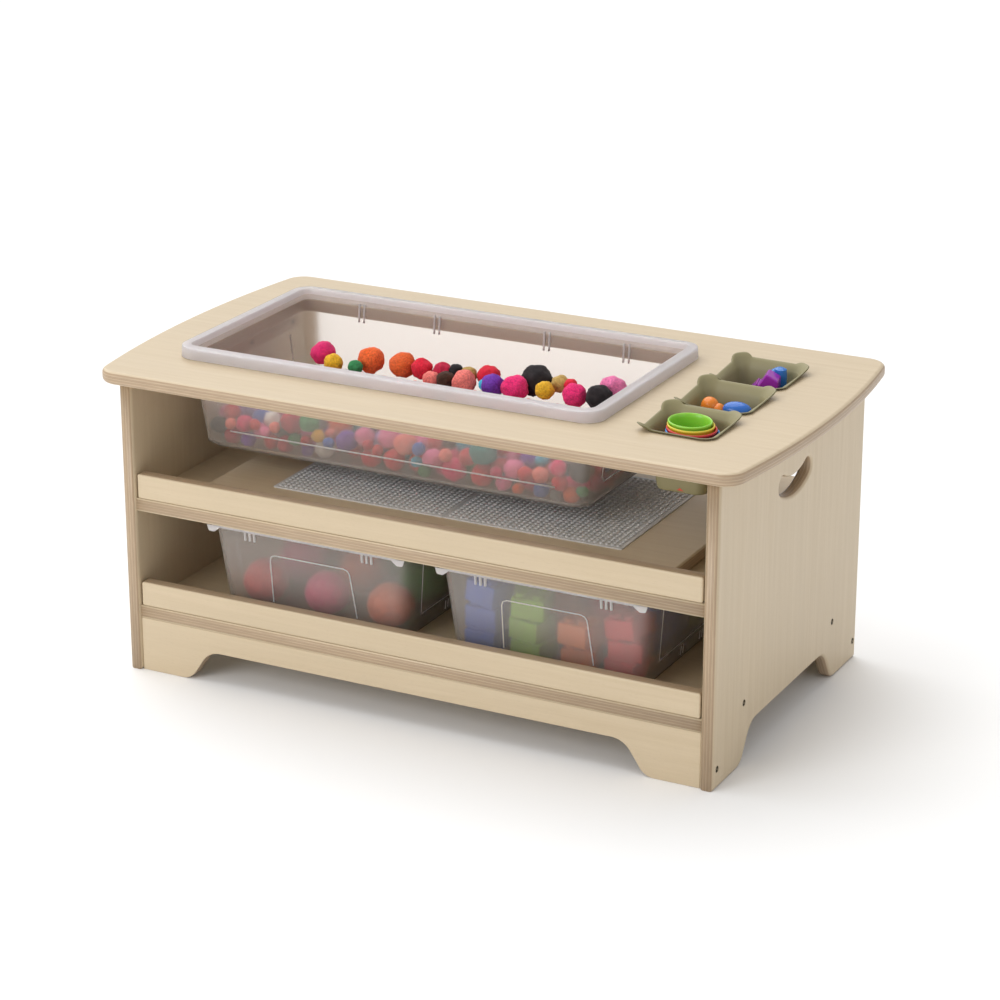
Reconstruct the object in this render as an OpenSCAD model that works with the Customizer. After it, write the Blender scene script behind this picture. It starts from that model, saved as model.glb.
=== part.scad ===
// Low play table for toddlers: plywood frame with two railed shelves, a lift-out play tub,
// three silicone bowls in the top, a loose building board and two storage bins.
// Millimetres. Origin: centre of the footprint on the floor, X along the length, +Y to the back.

/* [Frame] */
// Length over the outer faces of the two side panels
frame_l = 864; // [720:1:1040]
// Depth of the side panels, front to back
frame_d = 490; // [405:1:640]
// Height of the side panels, floor to underside of the top
panel_h = 408; // [340:1:520]
// Thickness of the side panels
side_t = 19; // [12:0.5:25]
// Thickness of the shelves, rails and aprons
ply_t = 18; // [12:0.5:25]
// Radius on the front and back edges of the side panels
edge_r = 6; // [1:0.5:9]
// How far the shelf fronts sit behind the side panels' front edge
setback = 3.5; // [0:0.5:20]

/* [Top] */
// How far the top overhangs each side panel at the middle of its bowed ends
top_over_l = 46; // [25:1:80]
// How far the top overhangs the side panels at the front and at the back
top_over_d = 15; // [5:1:40]
// Thickness of the table top
top_t = 18; // [12:0.5:25]
// Depth of the bow at each end
top_bow = 22; // [5:1:40]
// Plan radius of the four corners
top_corner_r = 30; // [5:1:60]

/* [Shelves] */
// Height of the underside of the bottom shelf
bottom_shelf_z = 76; // [60:1:120]
// Height of the underside of the middle shelf
mid_shelf_z = 230; // [190:1:280]
// Height of the rail that stands on each shelf's front edge
rail_h = 34; // [10:1:60]
// Gap between each end of a rail and the side panel
rail_gap = 2; // [0:0.5:10]

/* [Foot arches] */
// Height of the arch under each side panel
side_arch_h = 48; // [20:1:70]
// Height of the arch under each apron
apron_arch_h = 45; // [20:1:65]
// Width of the flat foot at each end of a side panel
side_foot = 90; // [50:1:140]
// Width of the flat foot at each end of an apron
apron_foot = 76; // [40:1:140]
// How far an arch's side leans in from foot to crown
arch_lean = 30; // [10:1:70]
// Radius where the arch meets its crown
arch_r = 32; // [5:1:40]
// Radius on the inner corner of each foot
foot_r = 24; // [2:1:30]

/* [Hand grips] */
// Width of the curved slot
grip_w = 25; // [18:1:40]
// Distance between the centres of the slot's two round ends
grip_span = 82; // [60:1:120]
// How far the middle of the slot drops below its ends
grip_drop = 10; // [4:1:25]
// How far the slot's round ends lie below the underside of the top
grip_below = 68; // [45:1:75]

/* [Play tub] */
// Gap between the tub's rim and the left side panel's inner face
tub_side_gap = 19; // [15:1:80]
// Gap between the tub's rim and the bowls' rims
tub_bowl_gap = 46; // [20:1:120]
// Distance from the tub's rim to the front and back edges of the top
tub_edge_gap = 93; // [50:1:140]
// Corner radius of the rim
tub_r = 26; // [20:1:80]
// Height of the rim above the table top
tub_rim_h = 17; // [8:1:25]
// Gap between the tub's underside and the building plates below it
tub_floor_gap = 29.6; // [5:0.1:60]
// Wall thickness of the tub
tub_wall = 2.5; // [1.5:0.1:4]
// Width of the rolled rim outside the tub wall
tub_lip = 12; // [6:0.5:25]
// How much each wall leans in between rim and floor
tub_taper = 15; // [0:1:40]
// Gap round the tub in the table top's opening
tub_clear = 2; // [0.5:0.1:4]
// Height of the heap of pompoms along the front of the tub
fill_front_h = 110; // [60:1:118]
// Height of the heap of pompoms at the back of the tub
fill_back_h = 34; // [15:1:60]

/* [Bowls] */
// Length of the bowl's rim along X
bowl_l = 112; // [92:1:135]
// Width of the bowl's rim along Y
bowl_w = 104; // [88:1:125]
// How far the rim reaches outside the square cup at its two ends along X
flange_l = 12; // [6:1:20]
// How far the rim reaches outside the square cup at its two ends along Y
flange_w = 11; // [6:1:20]
// Depth of the cup below the table top's upper face
cup_depth = 80; // [40:1:95]
// How much each side of the cup leans in towards its floor
cup_taper = 10; // [0:1:20]
// Wall thickness of the silicone
cup_wall = 3; // [2:0.1:5]
// Height of the rim's low stretches above the table top
bowl_rim_h = 8; // [4:0.5:16]
// Height of the rim's four corner ears above the table top
bowl_ear_h = 16; // [8:0.5:24]
// Gap between the rims of neighbouring bowls
bowl_gap = 8; // [2:1:30]
// Gap between the bowls' rims and the right side panel's inner face
bowl_side_gap = 25; // [20:1:60]
// Gap round a cup in the table top's opening
cup_clear = 1.5; // [0.5:0.1:4]

/* [Play board] */
// Gap between the board and the left side panel's inner face
board_left_gap = 79.5; // [2:0.5:80]
// Gap between the board and the right side panel's inner face
board_right_gap = 60.5; // [2:0.5:65]
// Distance from the board's back edge to the shelf's back edge
board_back_gap = 94; // [0:1:120]
// Thickness of the loose building board
board_t = 18; // [9:0.5:25]
// Plan radius of the board's corners
board_r = 40; // [5:1:80]
// Side of one square studded baseplate
plate_side = 255.6; // [120:0.1:260]
// Overall thickness of a baseplate with its studs
plate_t = 3.4; // [2:0.1:6]

/* [Bins] */
// Gap between the left bin's rim and the left side panel's inner face
bin_left_gap = 89.5; // [2:0.5:90]
// Gap between the right bin's rim and the right side panel's inner face
bin_right_gap = 79.5; // [2:0.5:90]
// Gap between the two bins' rims
bin_mid_gap = 33; // [2:0.5:60]
// Distance from the bins' back ends to the shelf's back edge
bin_back_gap = 61; // [0:1:100]
// Gap between a bin's rim and the shelf above it
bin_headroom = 5.5; // [2:0.5:60]
// Corner radius of the rim
bin_r = 26; // [10:1:50]
// Wall thickness of a bin
bin_wall = 2.2; // [1.5:0.1:4]
// Width of the rim outside the wall
bin_lip = 8; // [4:0.5:16]
// Height of the rim's turned-down edge
bin_lip_h = 7; // [4:0.5:14]
// How much each wall leans in between rim and floor
bin_taper = 13; // [0:1:30]

/* [Toys] */
// Radius of the soft play balls
ball_r = 31; // [20:1:38]
// Gap between neighbouring play balls along X
ball_gap_x = 34; // [2:1:40]
// Gap between neighbouring play balls along Y
ball_gap_y = 32; // [2:1:40]
// Side of the square toy building blocks
block_side = 48; // [30:1:66]
// Gap between neighbouring building blocks along X
block_gap_x = 20; // [2:1:40]
// Gap between neighbouring building blocks along Y
block_gap_y = 48; // [2:1:50]
// How far the tallest blocks stay below the bin's rim
block_drop = 28; // [10:1:50]
// Wall thickness of the stacking cups
toy_wall = 1.6; // [1:0.1:3]
// How far the widest stacking cup's rim lies below the table top's upper face
cup_sink = 10; // [5:1:40]
// How much narrower each stacking cup is than the one it stands in
cup_step_d = 4; // [4:0.1:6]
// How much higher each stacking cup's rim is than the one it stands in
cup_step_z = 4.5; // [2:0.5:10]
// Radius of the toy figures
figure_r = 14; // [8:0.5:14.5]
// Height of the toy figures
figure_h = 78; // [40:1:90]
// Radius of the wide toy scoop at its upper end
scoop_r = 16; // [8:0.5:18]
// Radius of the narrow toy scoop at its upper end
small_scoop_r = 9; // [5:0.5:10]
// Height of the toy scoops
scoop_h = 88; // [40:1:100]
// Radius of the small ball in the back bowl
toy_ball_r = 12; // [6:0.5:13]

/* [Fixings] */
// Shank diameter of the wood screws
screw_d = 4; // [3:0.5:6]
// Head diameter of the wood screws
screw_head_d = 8.5; // [6:0.5:12]
// Length of the screws through the side panels
panel_screw_l = 50; // [30:1:70]
// Length of the screws through the cleats
cleat_screw_l = 32; // [27:1:38]
// Thickness and height of the hidden cleats under the top
cleat_t = 22; // [15:1:30]
// Length of the hidden cleats
cleat_l = 300; // [150:1:340]
// Distance from a cleat's ends to its outer screws
cleat_bolt_inset = 40; // [15:1:60]
// Height of the screws into the aprons above the floor
apron_screw_z = 27; // [15:1:40]
// Distance from the bottom shelf's front and back edges to its screws
shelf_screw_inset = 90.5; // [30:0.5:120]
// Diameter of the wooden dowels that hold the middle shelf
dowel_d = 8; // [6:1:12]
// Length of the wooden dowels
dowel_l = 32; // [20:1:36]
// Distance from the middle shelf's front and back edges to the outer dowels
dowel_inset = 71.5; // [30:0.5:120]

/* [Hidden] */
$fn = 64;

WOOD = [0.87, 0.80, 0.66];
EDGE = [0.80, 0.69, 0.51];
STEEL = [0.16, 0.15, 0.14];
CLEAR = [0.90, 0.89, 0.92, 0.6];
OLIVE = [0.45, 0.42, 0.26];
GREY = [0.70, 0.70, 0.71];
CUP_COLORS = ["coral", "deepskyblue", "firebrick", "gold", "yellowgreen"];
BALL_COLORS = ["crimson", "hotpink", "darkorange", "seagreen"];
BLOCK_COLORS = ["royalblue", "yellowgreen", "darkorange", "crimson"];

BIG_FN = 360;
HULL_FN = 32;
ARC_STEPS = 10;
EPS = 0.01;

// Frame
inner_l = frame_l - 2 * side_t;
shelf_d = frame_d - 2 * setback;
top_z = panel_h + top_t;
bottom_top_z = bottom_shelf_z + ply_t;
mid_top_z = mid_shelf_z + ply_t;
front_y = -shelf_d / 2;
side_x = frame_l / 2 - side_t / 2;
grip_z = panel_h - grip_below;

// Bowed top: radius of an end's bow, its centre, and the corner circles that touch it
top_l = frame_l + 2 * top_over_l;
top_d = frame_d + 2 * top_over_d;
bow_r = (top_d * top_d / 4 + top_bow * top_bow) / (2 * top_bow);
bow_x = top_l / 2 - bow_r;
corner_y = top_d / 2 - top_corner_r;
corner_x = bow_x + sqrt(pow(bow_r - top_corner_r, 2) - corner_y * corner_y);
bow_half_y = corner_y * bow_r / (bow_r - top_corner_r);

// Hand grip: radius of the slot's middle line
grip_r = (grip_span * grip_span / 4 + grip_drop * grip_drop) / (2 * grip_drop);
grip_half_angle = asin(grip_span / 2 / grip_r);

// Clearance under pieces that stand on another, so that loose pieces never overlap
lift = 0.3;

// Building board, close behind the middle rail
board_gap = 3;
board_l = inner_l - board_left_gap - board_right_gap;
board_d = shelf_d - ply_t - board_gap - board_back_gap;
board_x = (board_left_gap - board_right_gap) / 2;
board_y = front_y + ply_t + board_gap + board_d / 2;
plate_gap = 0.4;
board_top_z = mid_top_z + board_t;

// Tub: between the left side panel and the bowls, its floor above the building plates
tub_l = inner_l - tub_side_gap - tub_bowl_gap - bowl_l - bowl_side_gap;
tub_w = top_d - 2 * tub_edge_gap;
tub_x = tub_side_gap + (tub_l - inner_l) / 2;
tub_top_z = top_z + tub_rim_h;
tub_floor_z = board_top_z + plate_t + tub_floor_gap;
tub_depth = tub_top_z - tub_floor_z;
tub_wall_l = tub_l - 2 * tub_lip;
tub_wall_w = tub_w - 2 * tub_lip;
tub_wall_r = tub_r - tub_lip;
tub_foot_l = tub_wall_l - 2 * tub_taper;
tub_foot_w = tub_wall_w - 2 * tub_taper;
fill_gap = 1;
ridge_share = 0.3;
crest_h = 5;

// Bowls: outline of the square cup at the top's upper face, and of the rim above it
cup_l = bowl_l - 2 * flange_l;
cup_w = bowl_w - 2 * flange_w;
cup_r = 16;
bowl_r = 22;
ear_r = 17;
ear_out = 4;
rim_wall = 1;
cup_floor_z = top_z - cup_depth;
cup_inner_floor_z = cup_floor_z + cup_wall + lift;
bowl_x = inner_l / 2 - bowl_side_gap - bowl_l / 2;
bowl_pitch = bowl_w + bowl_gap;
bowl_ys = [-bowl_pitch, 0, bowl_pitch];

// Toys in the bowls: half the room on a bowl's floor, and the widest of the nested cups
bowl_room_x = cup_l / 2 - cup_taper - cup_wall;
bowl_room_y = cup_w / 2 - cup_taper - cup_wall;
toy_gap = 0.5;
cup_spread = 26;
widest_cup_d = cup_w - 2 * (cup_wall + cup_taper * cup_sink / cup_depth + toy_gap);
widest_cup_z = top_z - cup_sink;

// Bins, close behind the bottom rail: centres of the two, and the room on a bin's floor
bin_gap = 4;
bin_l = (inner_l - bin_left_gap - bin_mid_gap - bin_right_gap) / 2;
bin_d = shelf_d - ply_t - bin_gap - bin_back_gap;
bin_h = mid_shelf_z - bottom_top_z - bin_headroom;
bin_xs = [(bin_l - inner_l) / 2 + bin_left_gap, (inner_l - bin_l) / 2 - bin_right_gap];
bin_y = front_y + ply_t + bin_gap + bin_d / 2;
bin_floor_z = bottom_top_z + lift;
bin_fill_z = bin_floor_z + bin_wall + lift;
bin_room = [for (side = [bin_l, bin_d]) side - 2 * (bin_lip + bin_taper + bin_wall)];
hook_l = 13;
hook_h = 5;

// Balls and blocks in the bins, as many as stand side by side on the floor
ball_pitch = [2 * ball_r + ball_gap_x, 2 * ball_r + ball_gap_y];
block_pitch = [block_side + block_gap_x, block_side + block_gap_y];
block_drops = [block_drop, block_drop + 6, block_drop + 34, block_drop + 14];

// Fixings
bore_gap = 0.1;
head_h = 2.6;
shelf_screw_y = shelf_d / 2 - shelf_screw_inset;
dowel_ys = [for (side = [-1:1]) side * (shelf_d / 2 - dowel_inset)];
cleat_bolt_ys = [for (side = [-1:1]) side * (cleat_l / 2 - cleat_bolt_inset)];

// Points of an arc of radius r that rounds the corner q between the points p and s
function rounded(p, q, s, r) =
    let (u = (p - q) / norm(p - q),
         v = (s - q) / norm(s - q),
         half = acos(u * v) / 2,
         start = q + u * r / tan(half),
         end = q + v * r / tan(half),
         c = q + (u + v) / norm(u + v) * r / sin(half),
         a = atan2(start[1] - c[1], start[0] - c[0]),
         b = atan2(end[1] - c[1], end[0] - c[0]),
         turn = b - a > 180 ? b - a - 360 : b - a < -180 ? b - a + 360 : b - a)
    [for (i = [0:ARC_STEPS]) c + r * [cos(a + turn * i / ARC_STEPS), sin(a + turn * i / ARC_STEPS)]];

// Rectangle with true round corners, centred
module round_rect(l, w, r) {
    square([l - 2 * r, w], center = true);
    square([l, w - 2 * r], center = true);
    for (x = [-1, 1], y = [-1, 1])
        translate([x * (l / 2 - r), y * (w / 2 - r)])
            circle(r);
}

// Round-cornered box whose outline changes evenly from its foot to its top
module tapered_box(foot, top, h) {
    hull() {
        linear_extrude(EPS) round_rect(foot[0], foot[1], foot[2], $fn = HULL_FN);
        translate([0, 0, h - EPS])
            linear_extrude(EPS) round_rect(top[0], top[1], top[2], $fn = HULL_FN);
    }
}

// Outline of a foot arch, drawn from below the floor up to its crown
module arch_outline(length, foot, h) {
    outer = length / 2 - foot;
    crown = outer - arch_lean;
    below = -10;
    side = [[outer + 40, 0], [outer, 0], [crown, h], [0, h]];
    right = concat(rounded(side[0], side[1], side[2], foot_r),
                   rounded(side[1], side[2], side[3], arch_r));
    left = [for (i = [len(right) - 1:-1:0]) [-right[i][0], right[i][1]]];
    polygon(concat([[outer + 40, below], [outer + 40, 0]], right, left,
                   [[-outer - 40, 0], [-outer - 40, below]]));
}

// Direction that turns from straight down at 0 towards +X
function turned(a) = [sin(a), -cos(a)];

// Curved hand slot, ends up, centred on x = 0 at the height of its ends
module grip_outline() {
    half = grip_half_angle;
    bow_centre = [0, grip_r - grip_drop];
    steps = [0:2 * ARC_STEPS];
    lower = [for (i = steps) bow_centre + (grip_r + grip_w / 2) * turned(half * (i / ARC_STEPS - 1))];
    upper = [for (i = steps) bow_centre + (grip_r - grip_w / 2) * turned(half * (1 - i / ARC_STEPS))];
    ends = [for (side = [1, -1])
        [for (i = [1:ARC_STEPS - 1])
            bow_centre + grip_r * turned(side * half)
            + grip_w / 2 * turned(side * half + 90 - side * 90 + 180 * i / ARC_STEPS)]];
    polygon(concat(lower, ends[0], upper, ends[1]));
}

// Stands a flat outline in the plane across the length, thickness t centred on x
module across(x, t) {
    translate([x - t / 2, 0, 0])
        rotate([90, 0, 90]) linear_extrude(t) children();
}

// Wood screw, head at the origin, pointing down -Z
module screw(l) {
    tip = 8;
    difference() {
        union() {
            translate([0, 0, -head_h]) cylinder(h = head_h, d1 = screw_d, d2 = screw_head_d);
            translate([0, 0, tip - l]) cylinder(h = l - tip - head_h + EPS, d = screw_d);
            translate([0, 0, -l]) cylinder(h = tip + EPS, d1 = 0.6, d2 = screw_d);
        }
        translate([0, 0, -2]) cylinder(h = 3, d = 3, $fn = 6);
    }
}

// Hole that the screw passes, with its countersink
module screw_hole(l) {
    d = screw_d + 2 * bore_gap;
    translate([0, 0, -l - bore_gap]) cylinder(h = l + 1, d = d);
    translate([0, 0, -head_h]) cylinder(h = head_h + EPS, d1 = d, d2 = screw_head_d + 2 * bore_gap);
}

// Puts a child at each screw that goes through the side panel on one side, -1 or 1
module at_panel_screws(side) {
    spots = [[-(shelf_d - ply_t) / 2, apron_screw_z], [(shelf_d - ply_t) / 2, apron_screw_z],
             [-shelf_screw_y, bottom_shelf_z + ply_t / 2], [shelf_screw_y, bottom_shelf_z + ply_t / 2]];
    for (s = spots)
        translate([side * frame_l / 2, s[0], s[1]]) rotate([0, side * 90, 0]) children();
}

// Puts a child at each dowel on one side, lying along X and centred on the joint
module at_dowels(side) {
    for (y = dowel_ys)
        translate([side * inner_l / 2, y, mid_shelf_z + ply_t / 2]) rotate([0, 90, 0]) children();
}

// Puts a child at each screw of one cleat, up into the top and out into the side panel
module at_cleat_screws(side) {
    for (y = cleat_bolt_ys) {
        translate([side * (inner_l / 2 - cleat_t / 2), y, panel_h - cleat_t])
            rotate([180, 0, 0]) children();
        translate([side * (inner_l / 2 - cleat_t), y + cleat_t, panel_h - cleat_t / 2])
            rotate([0, -side * 90, 0]) children();
    }
}

// Blind hole for a dowel, both halves
module dowel_hole() {
    cylinder(h = dowel_l + 2 * bore_gap, d = dowel_d + 2 * bore_gap, center = true);
}

module top_outline() {
    intersection() {
        translate([bow_x, 0]) circle(bow_r, $fn = 4 * BIG_FN);
        translate([-bow_x, 0]) circle(bow_r, $fn = 4 * BIG_FN);
        square([top_l + 2, 2 * bow_half_y], center = true);
    }
    square([2 * corner_x, top_d], center = true);
    for (x = [-1, 1], y = [-1, 1])
        translate([x * corner_x, y * corner_y]) circle(top_corner_r);
}

module table_top() {
    tub_hole_l = tub_wall_l + 2 * tub_clear;
    tub_hole_w = tub_wall_w + 2 * tub_clear;
    color(WOOD)
    difference() {
        translate([0, 0, panel_h])
            linear_extrude(top_t)
                difference() {
                    top_outline();
                    translate([tub_x, 0]) round_rect(tub_hole_l, tub_hole_w, tub_wall_r + tub_clear);
                    for (y = bowl_ys)
                        translate([bowl_x, y])
                            round_rect(cup_l + 2 * cup_clear, cup_w + 2 * cup_clear, cup_r + cup_clear);
                }
        for (side = [-1, 1]) at_cleat_screws(side) screw_hole(cleat_screw_l);
    }
}

module side_panel(side) {
    color(WOOD)
    difference() {
        intersection() {
            across(side * side_x, side_t)
                difference() {
                    translate([-frame_d / 2, 0]) square([frame_d, panel_h]);
                    arch_outline(frame_d, side_foot, side_arch_h);
                    translate([0, grip_z]) grip_outline();
                }
            translate([side * side_x, 0, -1])
                linear_extrude(panel_h + 2) round_rect(side_t, frame_d, edge_r);
        }
        at_panel_screws(side) screw_hole(panel_screw_l);
        at_dowels(side) dowel_hole();
        at_cleat_screws(side) screw_hole(cleat_screw_l);
    }
}

module mid_shelf() {
    color(WOOD)
    difference() {
        translate([-inner_l / 2, front_y, mid_shelf_z]) cube([inner_l, shelf_d, ply_t]);
        for (side = [-1, 1]) at_dowels(side) dowel_hole();
    }
}

module bottom_shelf() {
    color(WOOD)
    difference() {
        translate([-inner_l / 2, front_y, bottom_shelf_z]) cube([inner_l, shelf_d, ply_t]);
        for (side = [-1, 1]) at_panel_screws(side) screw_hole(panel_screw_l);
    }
}

// Rail glued upright on a shelf's front edge, with softened ends
module rail(z) {
    end_r = 3;
    color(WOOD)
    translate([0, front_y + ply_t / 2, z + rail_h / 2])
        rotate([90, 0, 0])
            linear_extrude(ply_t, center = true) round_rect(inner_l - 2 * rail_gap, rail_h, end_r);
}

// Arched board under the bottom shelf, its middle plane at y
module apron(y) {
    color(WOOD)
    difference() {
        translate([0, y + ply_t / 2, 0])
            rotate([90, 0, 0])
                linear_extrude(ply_t)
                    difference() {
                        translate([-inner_l / 2, 0]) square([inner_l, bottom_shelf_z]);
                        arch_outline(inner_l, apron_foot, apron_arch_h);
                    }
        for (side = [-1, 1]) at_panel_screws(side) screw_hole(panel_screw_l);
    }
}

module cleat(side) {
    color(EDGE)
    difference() {
        translate([side * (inner_l - cleat_t) / 2, 0, panel_h - cleat_t / 2])
            cube([cleat_t, cleat_l, cleat_t], center = true);
        at_cleat_screws(side) screw_hole(cleat_screw_l);
    }
}

module panel_screws() {
    color(STEEL)
    for (side = [-1, 1]) at_panel_screws(side) screw(panel_screw_l);
}

module cleat_screws() {
    color(STEEL)
    for (side = [-1, 1]) at_cleat_screws(side) screw(cleat_screw_l);
}

module shelf_dowels() {
    color(EDGE)
    for (side = [-1, 1]) at_dowels(side) cylinder(h = dowel_l, d = dowel_d, center = true);
}

module play_board() {
    color(WOOD)
    translate([board_x, board_y, mid_top_z + lift])
        linear_extrude(board_t - lift) round_rect(board_l, board_d, board_r);
}

// One square plate on the board, left or right of its middle
module baseplate(side) {
    color(GREY)
    translate([board_x + side * (plate_side + plate_gap) / 2, board_y, board_top_z])
        linear_extrude(plate_t) round_rect(plate_side, plate_side, 2);
}

module tub() {
    floor_size = [tub_foot_l, tub_foot_w, tub_wall_r];
    wall_size = [tub_wall_l, tub_wall_w, tub_wall_r];
    inset = [2 * tub_wall, 2 * tub_wall, tub_wall];
    color(CLEAR)
    translate([tub_x, 0, 0])
    difference() {
        union() {
            translate([0, 0, tub_floor_z]) tapered_box(floor_size, wall_size, tub_depth);
            translate([0, 0, top_z + lift])
                linear_extrude(tub_rim_h - lift)
                    difference() {
                        round_rect(tub_l, tub_w, tub_r);
                        round_rect(tub_l - 2 * tub_wall, tub_w - 2 * tub_wall, tub_r - tub_wall);
                    }
            translate([0, 0, tub_top_z - tub_wall])
                linear_extrude(tub_wall) round_rect(tub_l, tub_w, tub_r);
        }
        translate([0, 0, tub_floor_z + tub_wall])
            tapered_box(floor_size - inset, wall_size - inset, tub_depth);
    }
}

// The loose pompoms, as one heap that is high along the front and slopes down to the back
module tub_pompoms() {
    room = tub_wall + fill_gap;
    foot = [tub_foot_l - 2 * room, tub_foot_w - 2 * room, tub_r - room];
    ridge = tub_foot_w * ridge_share;
    color("crimson")
    translate([tub_x, 0, tub_floor_z + tub_wall + lift])
        hull() {
            linear_extrude(fill_back_h) round_rect(foot[0], foot[1], foot[2], $fn = HULL_FN);
            translate([0, (ridge - tub_foot_w) / 2 + room, fill_front_h - crest_h])
                linear_extrude(crest_h) round_rect(foot[0], ridge, foot[2], $fn = HULL_FN);
        }
}

// Square silicone cup with a flared rim that rises to an ear at each corner
module bowl(y) {
    cup_top = [cup_l, cup_w, cup_r];
    cup_foot = [cup_l - 2 * cup_taper, cup_w - 2 * cup_taper, cup_r - 3];
    inset = [2 * cup_wall, 2 * cup_wall, cup_wall];
    rim_in = ear_out + rim_wall;
    color(OLIVE)
    translate([bowl_x, y, 0])
    difference() {
        union() {
            translate([0, 0, cup_floor_z]) tapered_box(cup_foot, cup_top, cup_depth + lift);
            translate([0, 0, top_z + lift])
                linear_extrude(bowl_rim_h - lift)
                    round_rect(bowl_l - 2 * ear_out, bowl_w - 2 * ear_out, bowl_r);
            translate([0, 0, top_z + lift])
                linear_extrude(bowl_ear_h - lift)
                    for (x = [-1, 1], v = [-1, 1])
                        translate([x * (bowl_l / 2 - ear_r), v * (bowl_w / 2 - ear_r)]) circle(ear_r);
        }
        translate([0, 0, cup_floor_z + cup_wall])
            tapered_box(cup_foot - inset, cup_top - inset, cup_depth - cup_wall + lift);
        translate([0, 0, top_z])
            tapered_box(cup_top - inset, [bowl_l - 2 * rim_in, bowl_w - 2 * rim_in, bowl_r - 2],
                        bowl_ear_h + 1);
    }
}

// One of the nested stacking cups, 0 the widest and lowest
module stacking_cup(i) {
    rim_d = widest_cup_d - i * cup_step_d;
    foot_d = rim_d - cup_spread;
    base_z = cup_inner_floor_z + i * (toy_wall + toy_gap);
    rim_z = widest_cup_z + i * cup_step_z;
    color(CUP_COLORS[i])
    translate([bowl_x, bowl_ys[0], base_z])
        difference() {
            cylinder(h = rim_z - base_z, d1 = foot_d, d2 = rim_d);
            translate([0, 0, toy_wall])
                cylinder(h = rim_z - base_z, d1 = foot_d - 2 * toy_wall, d2 = rim_d - 2 * toy_wall + 1);
        }
}

// Rounded toy figure standing in the middle bowl, -1 left or 1 right
module toy_figure(side) {
    color(side < 0 ? "darkorange" : "royalblue")
    translate([bowl_x + side * (figure_r + 1), bowl_ys[1], cup_inner_floor_z]) {
        cylinder(h = figure_h - figure_r, r = figure_r);
        translate([0, 0, figure_h - figure_r]) sphere(figure_r);
    }
}

// Upright toy scoop of radius r in the back bowl's right half, at y from the bowl's middle
module toy_scoop(y, r) {
    color(r > small_scoop_r ? "purple" : "dodgerblue")
    translate([bowl_x + bowl_room_x - 4 - r, bowl_ys[2] + y, cup_inner_floor_z])
        cylinder(h = scoop_h, r1 = r - 2, r2 = r);
}

module toy_ball() {
    color("tomato")
    translate([bowl_x - bowl_room_x + toy_ball_r + 3, bowl_ys[2] - bowl_room_y + toy_ball_r + 4,
               cup_inner_floor_z + toy_ball_r])
        sphere(toy_ball_r);
}

// Storage bin, 0 left or 1 right, with a turned-down rim and a hook under each of its corners
module bin(side) {
    wall_l = bin_l - 2 * bin_lip;
    wall_d = bin_d - 2 * bin_lip;
    wall_size = [wall_l, wall_d, bin_r - bin_lip];
    foot_size = [wall_l - 2 * bin_taper, wall_d - 2 * bin_taper, bin_r - bin_lip];
    inset = [2 * bin_wall, 2 * bin_wall, bin_wall];
    rim_z = bin_h - lift;
    color(CLEAR)
    translate([bin_xs[side], bin_y, bin_floor_z])
    difference() {
        union() {
            tapered_box(foot_size, wall_size, rim_z);
            translate([0, 0, rim_z - bin_wall])
                linear_extrude(bin_wall) round_rect(bin_l, bin_d, bin_r);
            translate([0, 0, rim_z - bin_lip_h])
                linear_extrude(bin_lip_h)
                    difference() {
                        round_rect(bin_l, bin_d, bin_r);
                        round_rect(bin_l - 2 * bin_wall, bin_d - 2 * bin_wall, bin_r - bin_wall);
                    }
            for (x = [-1, 1], v = [-1, 1])
                translate([x * (bin_l / 2 - bin_r), v * (bin_d / 2 - bin_wall / 2),
                           rim_z - bin_lip_h - hook_h / 2 + EPS])
                    cube([hook_l, bin_wall, hook_h], center = true);
        }
        translate([0, 0, bin_wall])
            tapered_box(foot_size - inset, wall_size - inset, rim_z);
    }
}

// Puts a child at each place k of 4 in the grid that fills a bin's floor, and hands it its column
module in_bin(side, size, pitch, k) {
    count = [for (axis = [0, 1]) floor((bin_room[axis] - size) / pitch[axis]) + 1];
    for (i = [0:count[0] - 1], j = [0:count[1] - 1])
        if ((i + j) % 4 == k) {
            $column = i;
            translate([bin_xs[side] + (i - (count[0] - 1) / 2) * pitch[0],
                       bin_y + (j - (count[1] - 1) / 2) * pitch[1], bin_fill_z])
                children();
        }
}

// The soft play balls of one colour, k from 0 to 3, in the left bin
module balls(k) {
    color(BALL_COLORS[k])
    in_bin(0, 2 * ball_r, ball_pitch, k)
        translate([0, 0, ball_r]) sphere(ball_r);
}

// The large toy building blocks of one colour, k from 0 to 3, in the right bin
module blocks(k) {
    color(BLOCK_COLORS[k])
    in_bin(1, block_side, block_pitch, k)
        linear_extrude(bin_floor_z + bin_h - lift - bin_fill_z - block_drops[$column % len(block_drops)])
            square(block_side, center = true);
}

table_top();
side_panel(-1);  // side_panel_left
side_panel(1);  // side_panel_right
mid_shelf();
rail(mid_top_z);  // mid_rail
bottom_shelf();
rail(bottom_top_z);  // bottom_rail
apron(-(shelf_d - ply_t) / 2);  // apron_front
apron((shelf_d - ply_t) / 2);  // apron_back
cleat(-1);  // cleat_left
cleat(1);  // cleat_right
panel_screws();
cleat_screws();
shelf_dowels();
play_board();
baseplate(-1);  // baseplate_left
baseplate(1);  // baseplate_right
tub();
tub_pompoms();
bowl(bowl_ys[0]);  // bowl_front
bowl(bowl_ys[1]);  // bowl_middle
bowl(bowl_ys[2]);  // bowl_back
stacking_cup(0);  // cup_coral
stacking_cup(1);  // cup_blue
stacking_cup(2);  // cup_red
stacking_cup(3);  // cup_yellow
stacking_cup(4);  // cup_green
toy_figure(-1);  // figure_orange
toy_figure(1);  // figure_blue
toy_scoop(-7, scoop_r);  // scoop_purple
toy_scoop(bowl_room_y - small_scoop_r - 1, small_scoop_r);  // scoop_blue
toy_ball();  // ball_small
bin(0);  // bin_left
bin(1);  // bin_right
balls(0);  // balls_red
balls(1);  // balls_pink
balls(2);  // balls_orange
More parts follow.
